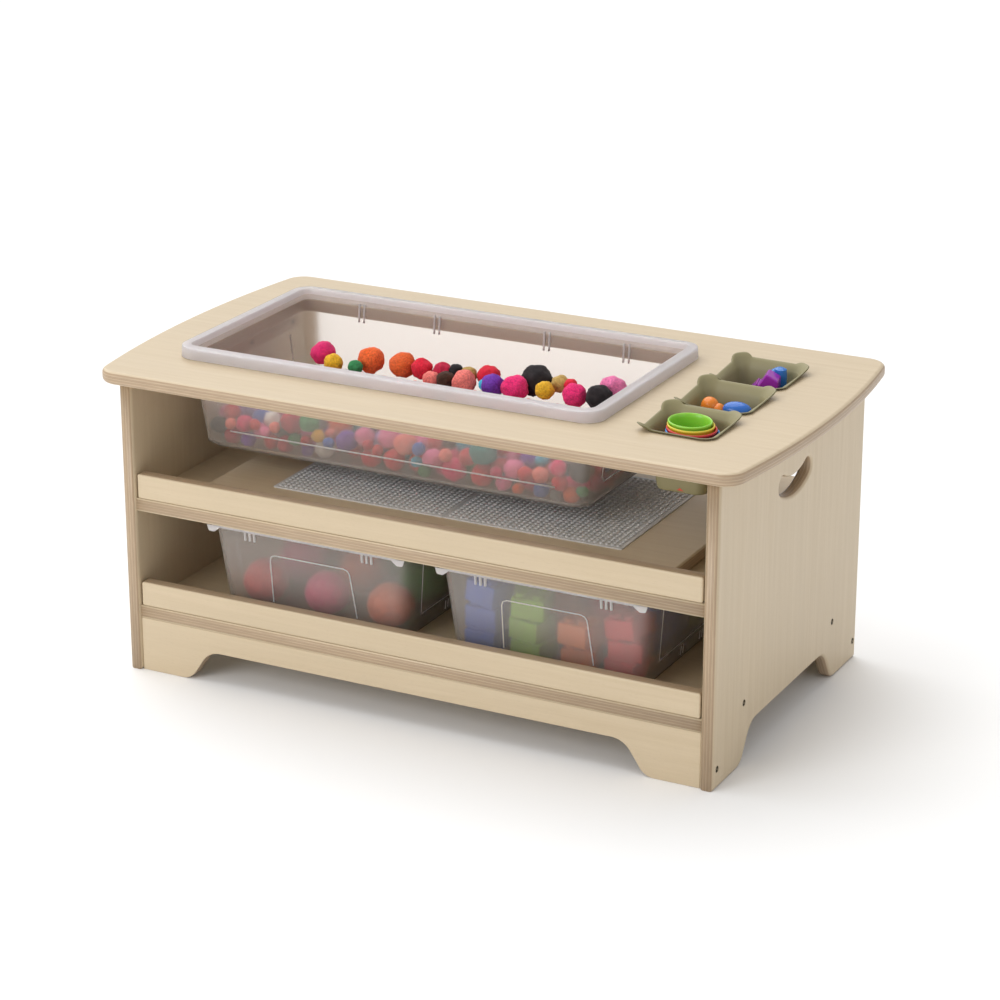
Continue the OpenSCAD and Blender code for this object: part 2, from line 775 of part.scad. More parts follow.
balls(3);  // balls_green
blocks(0);  // blocks_blue
blocks(1);  // blocks_green
blocks(3);  // blocks_red
blocks(2);  // blocks_orange
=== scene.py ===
import math
import random

import bmesh
import bpy
import numpy as np
from mathutils import Euler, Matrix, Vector, noise
from mathutils.geometry import tessellate_polygon


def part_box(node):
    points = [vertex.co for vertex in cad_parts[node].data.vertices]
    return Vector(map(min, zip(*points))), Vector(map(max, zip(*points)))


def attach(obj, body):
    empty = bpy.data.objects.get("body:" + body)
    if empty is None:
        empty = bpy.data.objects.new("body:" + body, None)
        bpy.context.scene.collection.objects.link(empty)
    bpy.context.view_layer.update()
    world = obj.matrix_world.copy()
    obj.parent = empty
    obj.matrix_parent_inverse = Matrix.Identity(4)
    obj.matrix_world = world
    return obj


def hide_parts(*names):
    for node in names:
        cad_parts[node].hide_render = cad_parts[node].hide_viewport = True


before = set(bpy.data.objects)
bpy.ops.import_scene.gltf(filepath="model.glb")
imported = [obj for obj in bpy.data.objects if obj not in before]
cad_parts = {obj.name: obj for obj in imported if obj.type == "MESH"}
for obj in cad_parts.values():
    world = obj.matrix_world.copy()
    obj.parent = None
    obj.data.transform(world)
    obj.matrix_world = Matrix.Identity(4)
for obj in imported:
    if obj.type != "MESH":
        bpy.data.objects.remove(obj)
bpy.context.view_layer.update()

MM = 0.001
TAU = 2 * math.pi

# Camera: azimuth and elevation of the view, distance to the point it looks at, lens on a 36 mm sensor
VIEW_AZIMUTH = 27.264
VIEW_ELEVATION = 20.078
VIEW_DISTANCE = 4.0
VIEW_TARGET = (0.0554, -0.0910, 0.2745)
VIEW_LENS = 110.14

# Plywood boards
PLY_LAYERS = 9
TOP_EDGE = 6 * MM
TOP_BOW = 22 * MM
TOP_CORNER = 30 * MM
HOLE_EDGE = 1.5 * MM
PANEL_EDGE = 5.5 * MM
RAIL_EDGE = 2.5 * MM
SHELF_EDGE = 0.8 * MM
RAIL_CORNER = 3 * MM
APRON_EDGE = 1.2 * MM
CLEAT_EDGE = 1 * MM
BOARD_EDGE = 3 * MM
BOARD_CORNER = 40 * MM
ARCH_LEAN = 30 * MM
ARCH_R = 32 * MM
FOOT_R = 24 * MM
SIDE_FOOT, SIDE_ARCH = 90 * MM, 48 * MM
APRON_FOOT, APRON_ARCH = 76 * MM, 45 * MM
GRIP_WIDTH, GRIP_SPAN, GRIP_DROP, GRIP_BELOW = 25 * MM, 82 * MM, 10 * MM, 68 * MM
TUB_CLEAR, CUP_CLEAR = 2 * MM, 1.5 * MM
POMPOM_RIDGE_IN, POMPOM_BACK_UP = 84 * MM, 34 * MM
STUD_PITCH, STUD_R, STUD_H = 8 * MM, 2.45 * MM, 1.8 * MM
TUB_LIP, TUB_R = 12 * MM, 26 * MM
FLANGE_L, FLANGE_W, CUP_R = 12 * MM, 11 * MM, 16 * MM


# ---------------------------------------------------------------- node helpers
def new_material(name):
    m = bpy.data.materials.new(name)
    m.use_nodes = True
    nt = m.node_tree
    return m, nt, nt.nodes["Principled BSDF"]


def add(nt, kind, **settings):
    n = nt.nodes.new("ShaderNode" + kind)
    for key, value in settings.items():
        if hasattr(n, key):
            setattr(n, key, value)
        else:
            n.inputs[key.replace("_", " ")].default_value = value
    return n


def maths(nt, operation, a, b=None, c=None, clamp=False):
    n = nt.nodes.new("ShaderNodeMath")
    n.operation = operation
    n.use_clamp = clamp
    for i, value in enumerate((a, b, c)):
        if value is None:
            continue
        if isinstance(value, (int, float)):
            n.inputs[i].default_value = value
        else:
            nt.links.new(value, n.inputs[i])
    return n.outputs[0]


def mix_colour(nt, factor, a, b, blend="MIX"):
    n = nt.nodes.new("ShaderNodeMix")
    n.data_type = "RGBA"
    n.blend_type = blend
    colour_a, colour_b, colour_out = 6, 7, 2
    for i, value in ((0, factor), (colour_a, a), (colour_b, b)):
        if isinstance(value, (int, float)):
            n.inputs[i].default_value = value
        elif isinstance(value, tuple):
            n.inputs[i].default_value = (*value[:3], 1)
        else:
            nt.links.new(value, n.inputs[i])
    return n.outputs[colour_out]


def noise_at(nt, vector, scale, detail=3.0, roughness=0.5, distortion=0.0):
    n = nt.nodes.new("ShaderNodeTexNoise")
    n.inputs["Scale"].default_value = scale
    n.inputs["Detail"].default_value = detail
    n.inputs["Roughness"].default_value = roughness
    n.inputs["Distortion"].default_value = distortion
    nt.links.new(vector, n.inputs["Vector"])
    return n.outputs[0]


def stretched(nt, vector, x, y, z):
    n = nt.nodes.new("ShaderNodeVectorMath")
    n.operation = "MULTIPLY"
    n.inputs[1].default_value = (x, y, z)
    nt.links.new(vector, n.inputs[0])
    return n.outputs[0]


def ramp(nt, factor, *stops):
    n = nt.nodes.new("ShaderNodeValToRGB")
    while len(n.color_ramp.elements) < len(stops):
        n.color_ramp.elements.new(0.5)
    for e, (place, value) in zip(n.color_ramp.elements, stops):
        e.position = place
        e.color = (*value, 1) if isinstance(value, tuple) else (value, value, value, 1)
    nt.links.new(factor, n.inputs[0])
    return n.outputs[0]


def bump(nt, bsdf, height, strength, distance):
    n = nt.nodes.new("ShaderNodeBump")
    n.inputs["Strength"].default_value = strength
    n.inputs["Distance"].default_value = distance
    nt.links.new(height, n.inputs["Height"])
    nt.links.new(n.outputs[0], bsdf.inputs["Normal"])


def object_coords(nt):
    return nt.nodes.new("ShaderNodeTexCoord").outputs["Object"]


def tint_over(nt, base, tint, pattern, low, high, share):
    """Lays a tint over the base, none where the pattern is below low and share of it above high."""
    cover = maths(nt, "MULTIPLY", ramp(nt, pattern, (low, 0.0), (high, 1.0)), share)
    return mix_colour(nt, cover, base, tint)


def times(colour, share):
    return tuple(c * share for c in colour)


# ---------------------------------------------------------------- materials
def birch_material(name, face, streak, band_light, band_dark, gloss=0.42):
    """Lacquered birch plywood: veneer on the faces, laminated layers wherever the thickness shows."""
    m, nt, bsdf = new_material(name)
    attribute = add(nt, "Attribute", attribute_name="veneer").outputs["Vector"]
    parts = nt.nodes.new("ShaderNodeSeparateXYZ")
    nt.links.new(attribute, parts.inputs[0])
    flat = nt.nodes.new("ShaderNodeCombineXYZ")
    nt.links.new(parts.outputs[0], flat.inputs[0])
    nt.links.new(parts.outputs[1], flat.inputs[1])
    # veneer: long fine streaks, soft figure across them and short flecks
    lines = noise_at(nt, stretched(nt, flat.outputs[0], 4, 110, 1), 1.0, 6.0, 0.7, 0.4)
    figure = noise_at(nt, stretched(nt, flat.outputs[0], 3, 11, 1), 1.0, 3.0, 0.55, 1.2)
    flecks = noise_at(nt, stretched(nt, flat.outputs[0], 110, 900, 1), 1.0, 2.0, 0.6)
    tone = tint_over(nt, face, streak, lines, 0.36, 0.68, 0.55)
    tone = tint_over(nt, tone, times(face, 0.93), figure, 0.40, 0.66, 0.45)
    tone = tint_over(nt, tone, times(streak, 0.80), flecks, 0.60, 0.74, 0.35)
    # laminated edge: layers across the thickness, every other one showing end grain
    level = maths(nt, "MULTIPLY", parts.outputs[2], PLY_LAYERS)
    layer = maths(nt, "FLOOR", level)
    within = maths(nt, "FRACT", level)
    odd = maths(nt, "MODULO", layer, 2.0)
    spot = nt.nodes.new("ShaderNodeCombineXYZ")
    along = maths(nt, "MULTIPLY", parts.outputs[0], 40.0)
    run = maths(nt, "ADD", along, maths(nt, "MULTIPLY", parts.outputs[1], 40.0))
    nt.links.new(run, spot.inputs[0])
    nt.links.new(maths(nt, "MULTIPLY", layer, 7.3), spot.inputs[1])
    nt.links.new(maths(nt, "MULTIPLY", within, 1.5), spot.inputs[2])
    grainy = noise_at(nt, spot.outputs[0], 1.0, 4.0, 0.6)
    edge = mix_colour(nt, odd, band_light, band_dark)
    edge = tint_over(nt, edge, times(band_dark, 0.72), grainy, 0.35, 0.70, 0.5)
    line = maths(nt, "LESS_THAN", within, 0.16)
    glue = maths(nt, "MULTIPLY", line, maths(nt, "LESS_THAN", maths(nt, "MODULO", layer, 4.0), 2.5))
    edge = mix_colour(nt, maths(nt, "MULTIPLY", glue, 0.55), edge, times(band_dark, 0.42))
    above = maths(nt, "GREATER_THAN", level, 1.0)
    inner = maths(nt, "MULTIPLY", above, maths(nt, "LESS_THAN", level, PLY_LAYERS - 1.0))
    nt.links.new(mix_colour(nt, inner, tone, edge), bsdf.inputs["Base Color"])
    rough = maths(nt, "ADD", maths(nt, "MULTIPLY", lines, 0.16), gloss - 0.08)
    nt.links.new(rough, bsdf.inputs["Roughness"])
    bsdf.inputs["Coat Weight"].default_value = 0.12
    bsdf.inputs["Coat Roughness"].default_value = 0.3
    steps = maths(nt, "MULTIPLY", maths(nt, "MULTIPLY", inner, odd), 0.5)
    height = maths(nt, "ADD", maths(nt, "MULTIPLY", lines, 0.6), steps)
    bump(nt, bsdf, height, 0.25, 0.15 * MM)
    return m


def frosted_material(name, tint, haze, rough):
    """Translucent moulded plastic: a fine matt surface that blurs what is behind it."""
    m, nt, bsdf = new_material(name)
    where = object_coords(nt)
    mottle = noise_at(nt, where, 1500.0, 2.0, 0.6)
    flow = noise_at(nt, where, 14.0, 3.0, 0.5)
    pale = tuple(min(1, c * 1.02) for c in tint)
    nt.links.new(mix_colour(nt, flow, tint, pale), bsdf.inputs["Base Color"])
    bsdf.inputs["Transmission Weight"].default_value = 1 - haze
    bsdf.inputs["IOR"].default_value = 1.3
    nt.links.new(maths(nt, "ADD", maths(nt, "MULTIPLY", flow, 0.05), rough), bsdf.inputs["Roughness"])
    bump(nt, bsdf, mottle, 0.05, 0.02 * MM)
    return m


def plastic_material(name, colour, rough=0.32, grain=0.12, sub=0.0):
    """Moulded plastic or silicone with a faint moulding texture and slow changes of shade."""
    m, nt, bsdf = new_material(name)
    where = object_coords(nt)
    slow = noise_at(nt, where, 35.0, 3.0, 0.5)
    fine = noise_at(nt, where, 1400.0, 2.0, 0.5)
    nt.links.new(mix_colour(nt, slow, times(colour, 0.86), colour), bsdf.inputs["Base Color"])
    nt.links.new(maths(nt, "ADD", maths(nt, "MULTIPLY", slow, 0.12), rough - 0.06), bsdf.inputs["Roughness"])
    bsdf.inputs["Subsurface Weight"].default_value = sub
    bsdf.inputs["Subsurface Scale"].default_value = 3 * MM
    bump(nt, bsdf, fine, grain, 0.06 * MM)
    return m


def yarn_material(name):
    """Fuzzy cut yarn in each pompom's own colour: painted shade makes it darker between the tufts, and a
    painted highlight makes it paler at the tips.
    """
    m, nt, bsdf = new_material(name)
    where = object_coords(nt)
    tufts = noise_at(nt, where, 420.0, 4.0, 0.7)
    patch = noise_at(nt, where, 60.0, 2.0, 0.5)
    own = add(nt, "Attribute", attribute_name="yarn").outputs["Color"]
    # painted shade in the hollows between tufts and painted highlight on their tips, following the same
    # noise as the bump
    shade = mix_colour(nt, ramp(nt, tufts, (0.32, 0.0), (0.62, 1.0)), (0.58, 0.58, 0.58), (1.12, 1.12, 1.12))
    tone = mix_colour(nt, 1.0, own, shade, "MULTIPLY")
    tone = mix_colour(nt, maths(nt, "MULTIPLY", patch, 0.04), tone, (0.9, 0.7, 0.7))
    nt.links.new(tone, bsdf.inputs["Base Color"])
    bsdf.inputs["Roughness"].default_value = 0.95
    bsdf.inputs["Specular IOR Level"].default_value = 0.1
    bsdf.inputs["Sheen Weight"].default_value = 0.08
    bsdf.inputs["Sheen Roughness"].default_value = 0.5
    bump(nt, bsdf, tufts, 0.7, 0.8 * MM)
    return m


def steel_material(name):
    """Blackened steel, rubbed brighter in patches."""
    m, nt, bsdf = new_material(name)
    where = object_coords(nt)
    worn = noise_at(nt, where, 900.0, 4.0, 0.6)
    tone = ramp(nt, worn, (0.4, (0.012, 0.011, 0.010)), (0.75, (0.07, 0.065, 0.06)))
    nt.links.new(tone, bsdf.inputs["Base Color"])
    bsdf.inputs["Metallic"].default_value = 0.9
    nt.links.new(maths(nt, "ADD", maths(nt, "MULTIPLY", worn, 0.3), 0.25), bsdf.inputs["Roughness"])
    bump(nt, bsdf, worn, 0.2, 0.05 * MM)
    return m


BIRCH = birch_material("birch", (0.595, 0.480, 0.325), (0.515, 0.400, 0.250), (0.50, 0.375, 0.245),
                       (0.42, 0.295, 0.185))
BEECH = birch_material("beech", (0.52, 0.38, 0.22), (0.44, 0.31, 0.17), (0.50, 0.36, 0.20),
                       (0.44, 0.31, 0.17))
FROST = frosted_material("frosted_plastic", (0.905, 0.845, 0.785), 0.14, 0.22)
FROST_RIM = frosted_material("frosted_rim", (0.92, 0.89, 0.90), 0.34, 0.33)
FROST_MARK = frosted_material("frosted_ridge", (0.93, 0.90, 0.89), 0.45, 0.35)
OLIVE = plastic_material("olive_silicone", (0.30, 0.265, 0.135), 0.5, 0.25)
# darker copy of the olive silicone: painted shade for the outer edge of each bowl's curled lip
OLIVE_RIM_SHADE = plastic_material("olive_silicone_rim_shade", (0.17, 0.15, 0.065), 0.45, 0.2)
GREY = plastic_material("stud_grey", (0.66, 0.655, 0.65), 0.35, 0.1)
STEEL = steel_material("black_oxide")
YARN = yarn_material("pompom_yarn")

YARNS = {
    "magenta": (0.78, 0.02, 0.16), "red": (0.66, 0.01, 0.035), "crimson": (0.50, 0.01, 0.05),
    "salmon": (0.86, 0.20, 0.17), "orange": (0.84, 0.13, 0.025), "yellow": (0.88, 0.48, 0.02),
    "tan": (0.50, 0.33, 0.10), "brown": (0.05, 0.018, 0.008), "black": (0.008, 0.008, 0.010),
    "green": (0.03, 0.24, 0.08), "teal": (0.02, 0.22, 0.22), "cyan": (0.05, 0.45, 0.66),
    "blue": (0.05, 0.13, 0.50), "purple": (0.17, 0.035, 0.42), "lilac": (0.42, 0.30, 0.62),
    "pink": (0.86, 0.20, 0.42), "white": (0.75, 0.73, 0.72), "grey": (0.16, 0.17, 0.18),
}


# ---------------------------------------------------------------- mesh helpers
def normals_out(mesh):
    bm = bmesh.new()
    bm.from_mesh(mesh)
    bmesh.ops.recalc_face_normals(bm, faces=bm.faces)
    bm.to_mesh(mesh)
    bm.free()


def tube_faces(n, rings, start=0, capped=True):
    """Faces between rings of n vertices that follow each other from start, and the caps at both ends."""
    faces = []
    for k in range(start, start + (rings - 1) * n, n):
        faces += [(k + i, k + (i + 1) % n, k + n + (i + 1) % n, k + n + i) for i in range(n)]
    last = start + (rings - 1) * n
    caps = [tuple(range(start, start + n))[::-1], tuple(range(last, last + n))]
    return faces + caps if capped else faces


def make_piece(name, verts, faces, material, body, slot, replaces=(), smooth=True, sharp=None):
    """A mesh object that rides on a CAD body, wears a material and may stand for CAD nodes."""
    mesh = bpy.data.meshes.new(name)
    mesh.from_pydata([tuple(v) for v in verts], [], faces)
    mesh.validate()
    normals_out(mesh)
    return finish_piece(name, mesh, material, body, slot, replaces, smooth, sharp)


def finish_piece(name, mesh, material, body, slot, replaces=(), smooth=True, sharp=None):
    o = bpy.data.objects.new(name, mesh)
    bpy.context.scene.collection.objects.link(o)
    for m in material if isinstance(material, (list, tuple)) else [material]:
        mesh.materials.append(m)
    if smooth:
        mesh.polygons.foreach_set("use_smooth", [True] * len(mesh.polygons))
    if sharp is not None:
        mesh.set_sharp_from_angle(angle=math.radians(sharp))
    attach(o, body)
    if replaces:
        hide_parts(*replaces)
    return o


def rounded_outline(corners, steps=8):
    """Closed outline through corners given as (x, y, radius), with true arcs at the rounded ones."""
    out = []
    n = len(corners)
    for i, (x, y, r) in enumerate(corners):
        p, q, s = Vector(corners[i - 1][:2]), Vector((x, y)), Vector(corners[(i + 1) % n][:2])
        if r <= 0:
            out.append(q)
            continue
        u, v = (p - q).normalized(), (s - q).normalized()
        half = math.acos(max(-1, min(1, u.dot(v)))) / 2
        start, end = q + u * r / math.tan(half), q + v * r / math.tan(half)
        centre = q + (u + v).normalized() * r / math.sin(half)
        a = math.atan2(start.y - centre.y, start.x - centre.x)
        b = math.atan2(end.y - centre.y, end.x - centre.x)
        turn = (b - a + math.pi) % TAU - math.pi
        for k in range(steps + 1):
            t = a + turn * k / steps
            out.append(centre + r * Vector((math.cos(t), math.sin(t))))
    return out


def signed_area(loop):
    return sum(a.x * b.y - b.x * a.y for a, b in zip(loop, loop[1:] + loop[:1])) / 2


def inset_loop(loop, d):
    """The loop moved by d to its left, each corner along its mitre."""
    out = []
    n = len(loop)
    for i in range(n):
        p, q, s = loop[i - 1], loop[i], loop[(i + 1) % n]
        a, b = (q - p).normalized(), (s - q).normalized()
        na, nb = Vector((-a.y, a.x)), Vector((-b.y, b.x))
        m = (na + nb) / max(0.3, 1 + na.dot(nb))
        out.append(q + m * d)
    return out


def board(name, outline, holes, low, high, place, edge, body, node, grain="u", material=None,
          hole_edge=HOLE_EDGE, slot="birch_ply", steps=5):
    """A flat board with rounded edges: outline and holes are loops in its plane, low and high its faces,
    and place turns (u, v, w) into the shared frame. Each vertex keeps where it is in the wood."""
    loops = [(outline if signed_area(outline) > 0 else outline[::-1], edge)]
    loops += [(h if signed_area(h) < 0 else h[::-1], hole_edge) for h in holes]
    verts, faces, woods = [], [], []
    shift = random.Random(name).random() * 10
    first_rings, last_rings = [], []
    for loop, r in loops:
        profile = []
        for k in range(steps + 1):
            a = math.pi / 2 * k / steps
            profile.append((r * (1 - math.sin(a)), low + r * (1 - math.cos(a))))
        profile += [(d, high + low - w) for d, w in reversed(profile)]
        rings = []
        for d, w in profile:
            ring = inset_loop(loop, d) if d > 1e-9 else loop
            start = len(verts)
            for p in ring:
                verts.append(place(p.x, p.y, w))
                along, across = (p.x, p.y) if grain == "u" else (p.y, p.x)
                woods.append((along + shift, across + shift, (w - low) / (high - low)))
            rings.append(range(start, start + len(ring)))
        for lower, upper in zip(rings, rings[1:]):
            n = len(lower)
            faces += [(lower[i], lower[(i + 1) % n], upper[(i + 1) % n], upper[i]) for i in range(n)]
        first_rings.append(rings[0])
        last_rings.append(rings[-1])
    rounded = len(faces)
    for group in (first_rings, last_rings):
        index = [i for ring in group for i in ring]
        flat = [[p.to_3d() for p in inset_loop(loop, r)] for loop, r in loops]
        faces += [tuple(index[j] for j in t) for t in tessellate_polygon(flat)]
    mesh = bpy.data.meshes.new(name)
    mesh.from_pydata([tuple(v) for v in verts], [], faces)
    layer = mesh.attributes.new("veneer", "FLOAT_VECTOR", "POINT")
    layer.data.foreach_set("vector", np.array(woods, np.float32).ravel())
    normals_out(mesh)
    o = finish_piece(name, mesh, material or BIRCH, body, slot, (node,), smooth=False)
    mesh.polygons.foreach_set("use_smooth", [i < rounded for i in range(len(mesh.polygons))])
    return o


def rect_outline(l, w, r, cx=0.0, cy=0.0, steps=8):
    corners = [(cx + x * l / 2, cy + y * w / 2, r) for x, y in ((-1, -1), (1, -1), (1, 1), (-1, 1))]
    return rounded_outline(corners, steps)


def flat_place(u, v, w):
    return (u, v, w)


def side_place(u, v, w):
    return (w, u, v)


def front_place(u, v, w):
    return (u, w, v)


def arched_outline(half, height, foot, arch_h):
    """Outline of a board that stands on two feet, with a leaning arch between them."""
    outer = half - foot
    crown = outer - ARCH_LEAN
    return rounded_outline([(-half, 0, 0), (-outer, 0, FOOT_R), (-crown, arch_h, ARCH_R),
                            (crown, arch_h, ARCH_R), (outer, 0, FOOT_R), (half, 0, 0),
                            (half, height, 0), (-half, height, 0)])


def grip_outline(z):
    """Curved hand slot with round ends, centred on u = 0."""
    r = (GRIP_SPAN**2 / 4 + GRIP_DROP**2) / (2 * GRIP_DROP)
    half = math.asin(GRIP_SPAN / 2 / r)
    centre = Vector((0, z + r - GRIP_DROP))
    turned = lambda a: Vector((math.sin(a), -math.cos(a)))
    wide = GRIP_WIDTH / 2
    end = range(1, 12)
    out = [centre + (r + wide) * turned(half * (k / 12 - 1)) for k in range(25)]
    out += [centre + r * turned(half) + wide * turned(half + math.pi * k / 12) for k in end]
    out += [centre + (r - wide) * turned(half * (1 - k / 12)) for k in range(25)]
    out += [centre + r * turned(-half) + wide * turned(math.pi - half + math.pi * k / 12) for k in end]
    return out


# ---------------------------------------------------------------- the wooden table
BOWL_NODES = ("bowl_front", "bowl_middle", "bowl_back")
top_lo, top_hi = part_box("table_top")


def top_outline():
    """Straight front and back, bowed ends and round corners, as points of true arcs."""
    half_l, half_d = top_hi.x, top_hi.y
    bow_r = (half_d**2 + TOP_BOW**2) / (2 * TOP_BOW)
    bow_x = half_l - bow_r
    corner_y = half_d - TOP_CORNER
    corner_x = bow_x + math.sqrt((bow_r - TOP_CORNER) ** 2 - corner_y**2)
    meet = math.asin(corner_y / (bow_r - TOP_CORNER))
    right = []
    for k in range(33):
        a = meet * (k / 16 - 1)
        right.append(Vector((bow_x + bow_r * math.cos(a), bow_r * math.sin(a))))
    upper = [Vector((corner_x, corner_y)) + TOP_CORNER * Vector((math.cos(a), math.sin(a)))
             for a in (meet + (math.pi / 2 - meet) * k / 12 for k in range(1, 13))]
    quarter = right[16:] + upper
    out = [Vector((p.x, -p.y)) for p in reversed(quarter)][:-1] + quarter
    return out + [Vector((-p.x, p.y)) for p in reversed(out)]


def middle(node):
    lo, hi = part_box(node)
    return (lo + hi) / 2, hi - lo


def opening(node, margin_l, margin_w, r):
    """Hole in the top for what hangs through it: its size over the rim less a margin all round."""
    c, size = middle(node)
    return rect_outline(size.x - 2 * margin_l, size.y - 2 * margin_w, r, c.x, c.y)


def build_top():
    margin = TUB_LIP - TUB_CLEAR
    holes = [opening("tub", margin, margin, TUB_R - margin)]
    for node in BOWL_NODES:
        holes.append(opening(node, FLANGE_L - CUP_CLEAR, FLANGE_W - CUP_CLEAR, CUP_R + CUP_CLEAR))
    board("top_board", top_outline(), holes, top_lo.z, top_hi.z, flat_place, TOP_EDGE, "frame", "table_top")


def mesh_islands(node):
    """Lowest and highest corner of each separate solid in a CAD node, in a fixed order."""
    bm = bmesh.new()
    bm.from_mesh(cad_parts[node].data)
    bmesh.ops.remove_doubles(bm, verts=bm.verts, dist=1e-6)
    todo, found = set(bm.verts), []
    while todo:
        stack, seen = [todo.pop()], []
        while stack:
            v = stack.pop()
            seen.append(v.co.copy())
            for e in v.link_edges:
                w = e.other_vert(v)
                if w in todo:
                    todo.discard(w)
                    stack.append(w)
        found.append((Vector(map(min, *seen)), Vector(map(max, *seen))))
    bm.free()
    return sorted(found, key=lambda b: (round(b[0].y, 4), round(b[0].x, 4), round(b[0].z, 4)))


def build_side_boards():
    for side in ("left", "right"):
        node = "side_panel_" + side
        lo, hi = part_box(node)
        grip = grip_outline(hi.z - GRIP_BELOW)
        outline = arched_outline(hi.y, hi.z, SIDE_FOOT, SIDE_ARCH)
        board("side_board_" + side, outline, [grip], lo.x, hi.x, side_place, PANEL_EDGE, "frame", node,
              grain="v", hole_edge=PANEL_EDGE)


def build_shelves():
    for node in ("mid_shelf", "bottom_shelf"):
        lo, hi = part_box(node)
        outline = rect_outline(hi.x - lo.x, hi.y - lo.y, 0)
        board(node + "_board", outline, [], lo.z, hi.z, flat_place, SHELF_EDGE, "frame", node, steps=2)


def build_rails():
    for node in ("mid_rail", "bottom_rail"):
        lo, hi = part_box(node)
        outline = rect_outline(hi.x - lo.x, hi.z - lo.z, RAIL_CORNER, 0, (hi.z + lo.z) / 2, 4)
        board(node + "_board", outline, [], lo.y, hi.y, front_place, RAIL_EDGE, "frame", node, steps=4)


def build_aprons():
    for node in ("apron_front", "apron_back"):
        lo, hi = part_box(node)
        outline = arched_outline(hi.x, hi.z, APRON_FOOT, APRON_ARCH)
        board(node + "_board", outline, [], lo.y, hi.y, front_place, APRON_EDGE, "frame", node, steps=3)


def build_cleats():
    for node in ("cleat_left", "cleat_right"):
        lo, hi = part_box(node)
        c, size = middle(node)
        outline = rect_outline(size.x, size.y, CLEAT_EDGE, c.x, c.y, 3)
        board(node + "_batten", outline, [], lo.z, hi.z, flat_place, CLEAT_EDGE, "frame", node,
              grain="v", material=BEECH, slot="hardwood", steps=2)


def build_play_board():
    lo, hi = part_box("play_board")
    c, size = middle("play_board")
    outline = rect_outline(size.x, size.y, BOARD_CORNER, c.x, c.y, 12)
    board("building_board_ply", outline, [], lo.z, hi.z, flat_place, BOARD_EDGE, "building_board",
          "play_board")


def finish_fasteners():
    """Screws and dowels keep their CAD shape and get a finish."""
    dowel = plastic_material("beech_dowel", (0.50, 0.36, 0.20), 0.6, 0.3)
    for node, material in (("panel_screws", STEEL), ("cleat_screws", STEEL), ("shelf_dowels", dowel)):
        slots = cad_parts[node].data.materials
        slots.clear()
        slots.append(material)


build_top()
build_side_boards()
build_shelves()
build_rails()
build_aprons()
build_cleats()
build_play_board()
finish_fasteners()


# ---------------------------------------------------------------- building plates
def build_plate(node):
    """Thin studded plate: a bevelled sheet and a square grid of round studs with a bevelled top."""
    lo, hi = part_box(node)
    c = (lo + hi) / 2
    base_top = hi.z - STUD_H
    bevel, stud_bevel = 0.3 * MM, 0.25 * MM
    ring = rect_outline(hi.x - lo.x, hi.y - lo.y, 2 * MM, c.x, c.y, 4)
    verts = []
    for d, z in ((0, lo.z), (0, base_top - bevel), (bevel, base_top)):
        verts += [(p.x, p.y, z) for p in (inset_loop(ring, d) if d else ring)]
    faces = tube_faces(len(ring), 3)
    count = int((hi.x - lo.x) / STUD_PITCH)
    sides = 12
    circle = [(math.cos(TAU * k / sides), math.sin(TAU * k / sides)) for k in range(sides)]
    levels = ((STUD_R, base_top), (STUD_R, hi.z - stud_bevel), (STUD_R - stud_bevel, hi.z))
    for i in range(count):
        for j in range(count):
            x = c.x + (i - (count - 1) / 2) * STUD_PITCH
            y = c.y + (j - (count - 1) / 2) * STUD_PITCH
            start = len(verts)
            for r, z in levels:
                verts += [(x + r * a, y + r * b, z) for a, b in circle]
            faces += tube_faces(sides, 3, start, capped=False)
            faces.append(tuple(range(start + 2 * sides, start + 3 * sides)))
    make_piece(node.replace("baseplate", "stud_plate"), verts, faces, GREY, "building_board",
               "grey_plastic", (node,), sharp=35)


build_plate("baseplate_left")
build_plate("baseplate_right")


# ---------------------------------------------------------------- lofted boxes: tub, bins, bowls and cups
LONG_SIDE, SIDE_STEPS = 12 * MM, 12


def ring_points(half_l, half_w, r, cx, cy, z, steps=8, lift=None):
    """Rounded rectangle ring at height z; lift(unit direction) adds height and outward reach at a vertex."""
    out = []
    r = min(r, half_l, half_w)
    for k, (sx, sy) in enumerate(((1, 1), (-1, 1), (-1, -1), (1, -1))):
        for i in range(steps + 1):
            a = math.pi / 2 * (k + i / steps)
            x = cx + sx * (half_l - r) + r * math.cos(a)
            y = cy + sy * (half_w - r) + r * math.sin(a)
            extra = lift(x - cx, y - cy) if lift else (0, 0)
            d = Vector((x - cx, y - cy)).normalized() * extra[1]
            out.append((x + d.x, y + d.y, z + extra[0]))
    # points along each straight side, so that the sides can bulge or dip
    dense = []
    for p, q in zip(out, out[1:] + out[:1]):
        dense.append(p)
        gap = math.hypot(q[0] - p[0], q[1] - p[1])
        if gap > LONG_SIDE:
            for j in range(1, SIDE_STEPS):
                t = j / SIDE_STEPS
                x, y = p[0] + (q[0] - p[0]) * t, p[1] + (q[1] - p[1]) * t
                dense.append((x, y, p[2] + (q[2] - p[2]) * t))
    return dense


def loft(levels, cx, cy, steps=8):
    """Closed surface through rounded rectangles (half_l, half_w, r, z[, lift]), capped at both ends."""
    verts = []
    for half_l, half_w, r, z, *lift in levels:
        ring = ring_points(half_l, half_w, r, cx, cy, z, steps, *lift)
        verts += ring
    return verts, tube_faces(len(ring), len(levels))


def join_parts(parts):
    verts, faces = [], []
    for v, f in parts:
        s = len(verts)
        verts += v
        faces += [tuple(i + s for i in face) for face in f]
    return verts, faces


STRIP_SHAPE = ((-1, -0.2), (-0.7, 0.7), (0, 1), (0.7, 0.7), (1, -0.2))


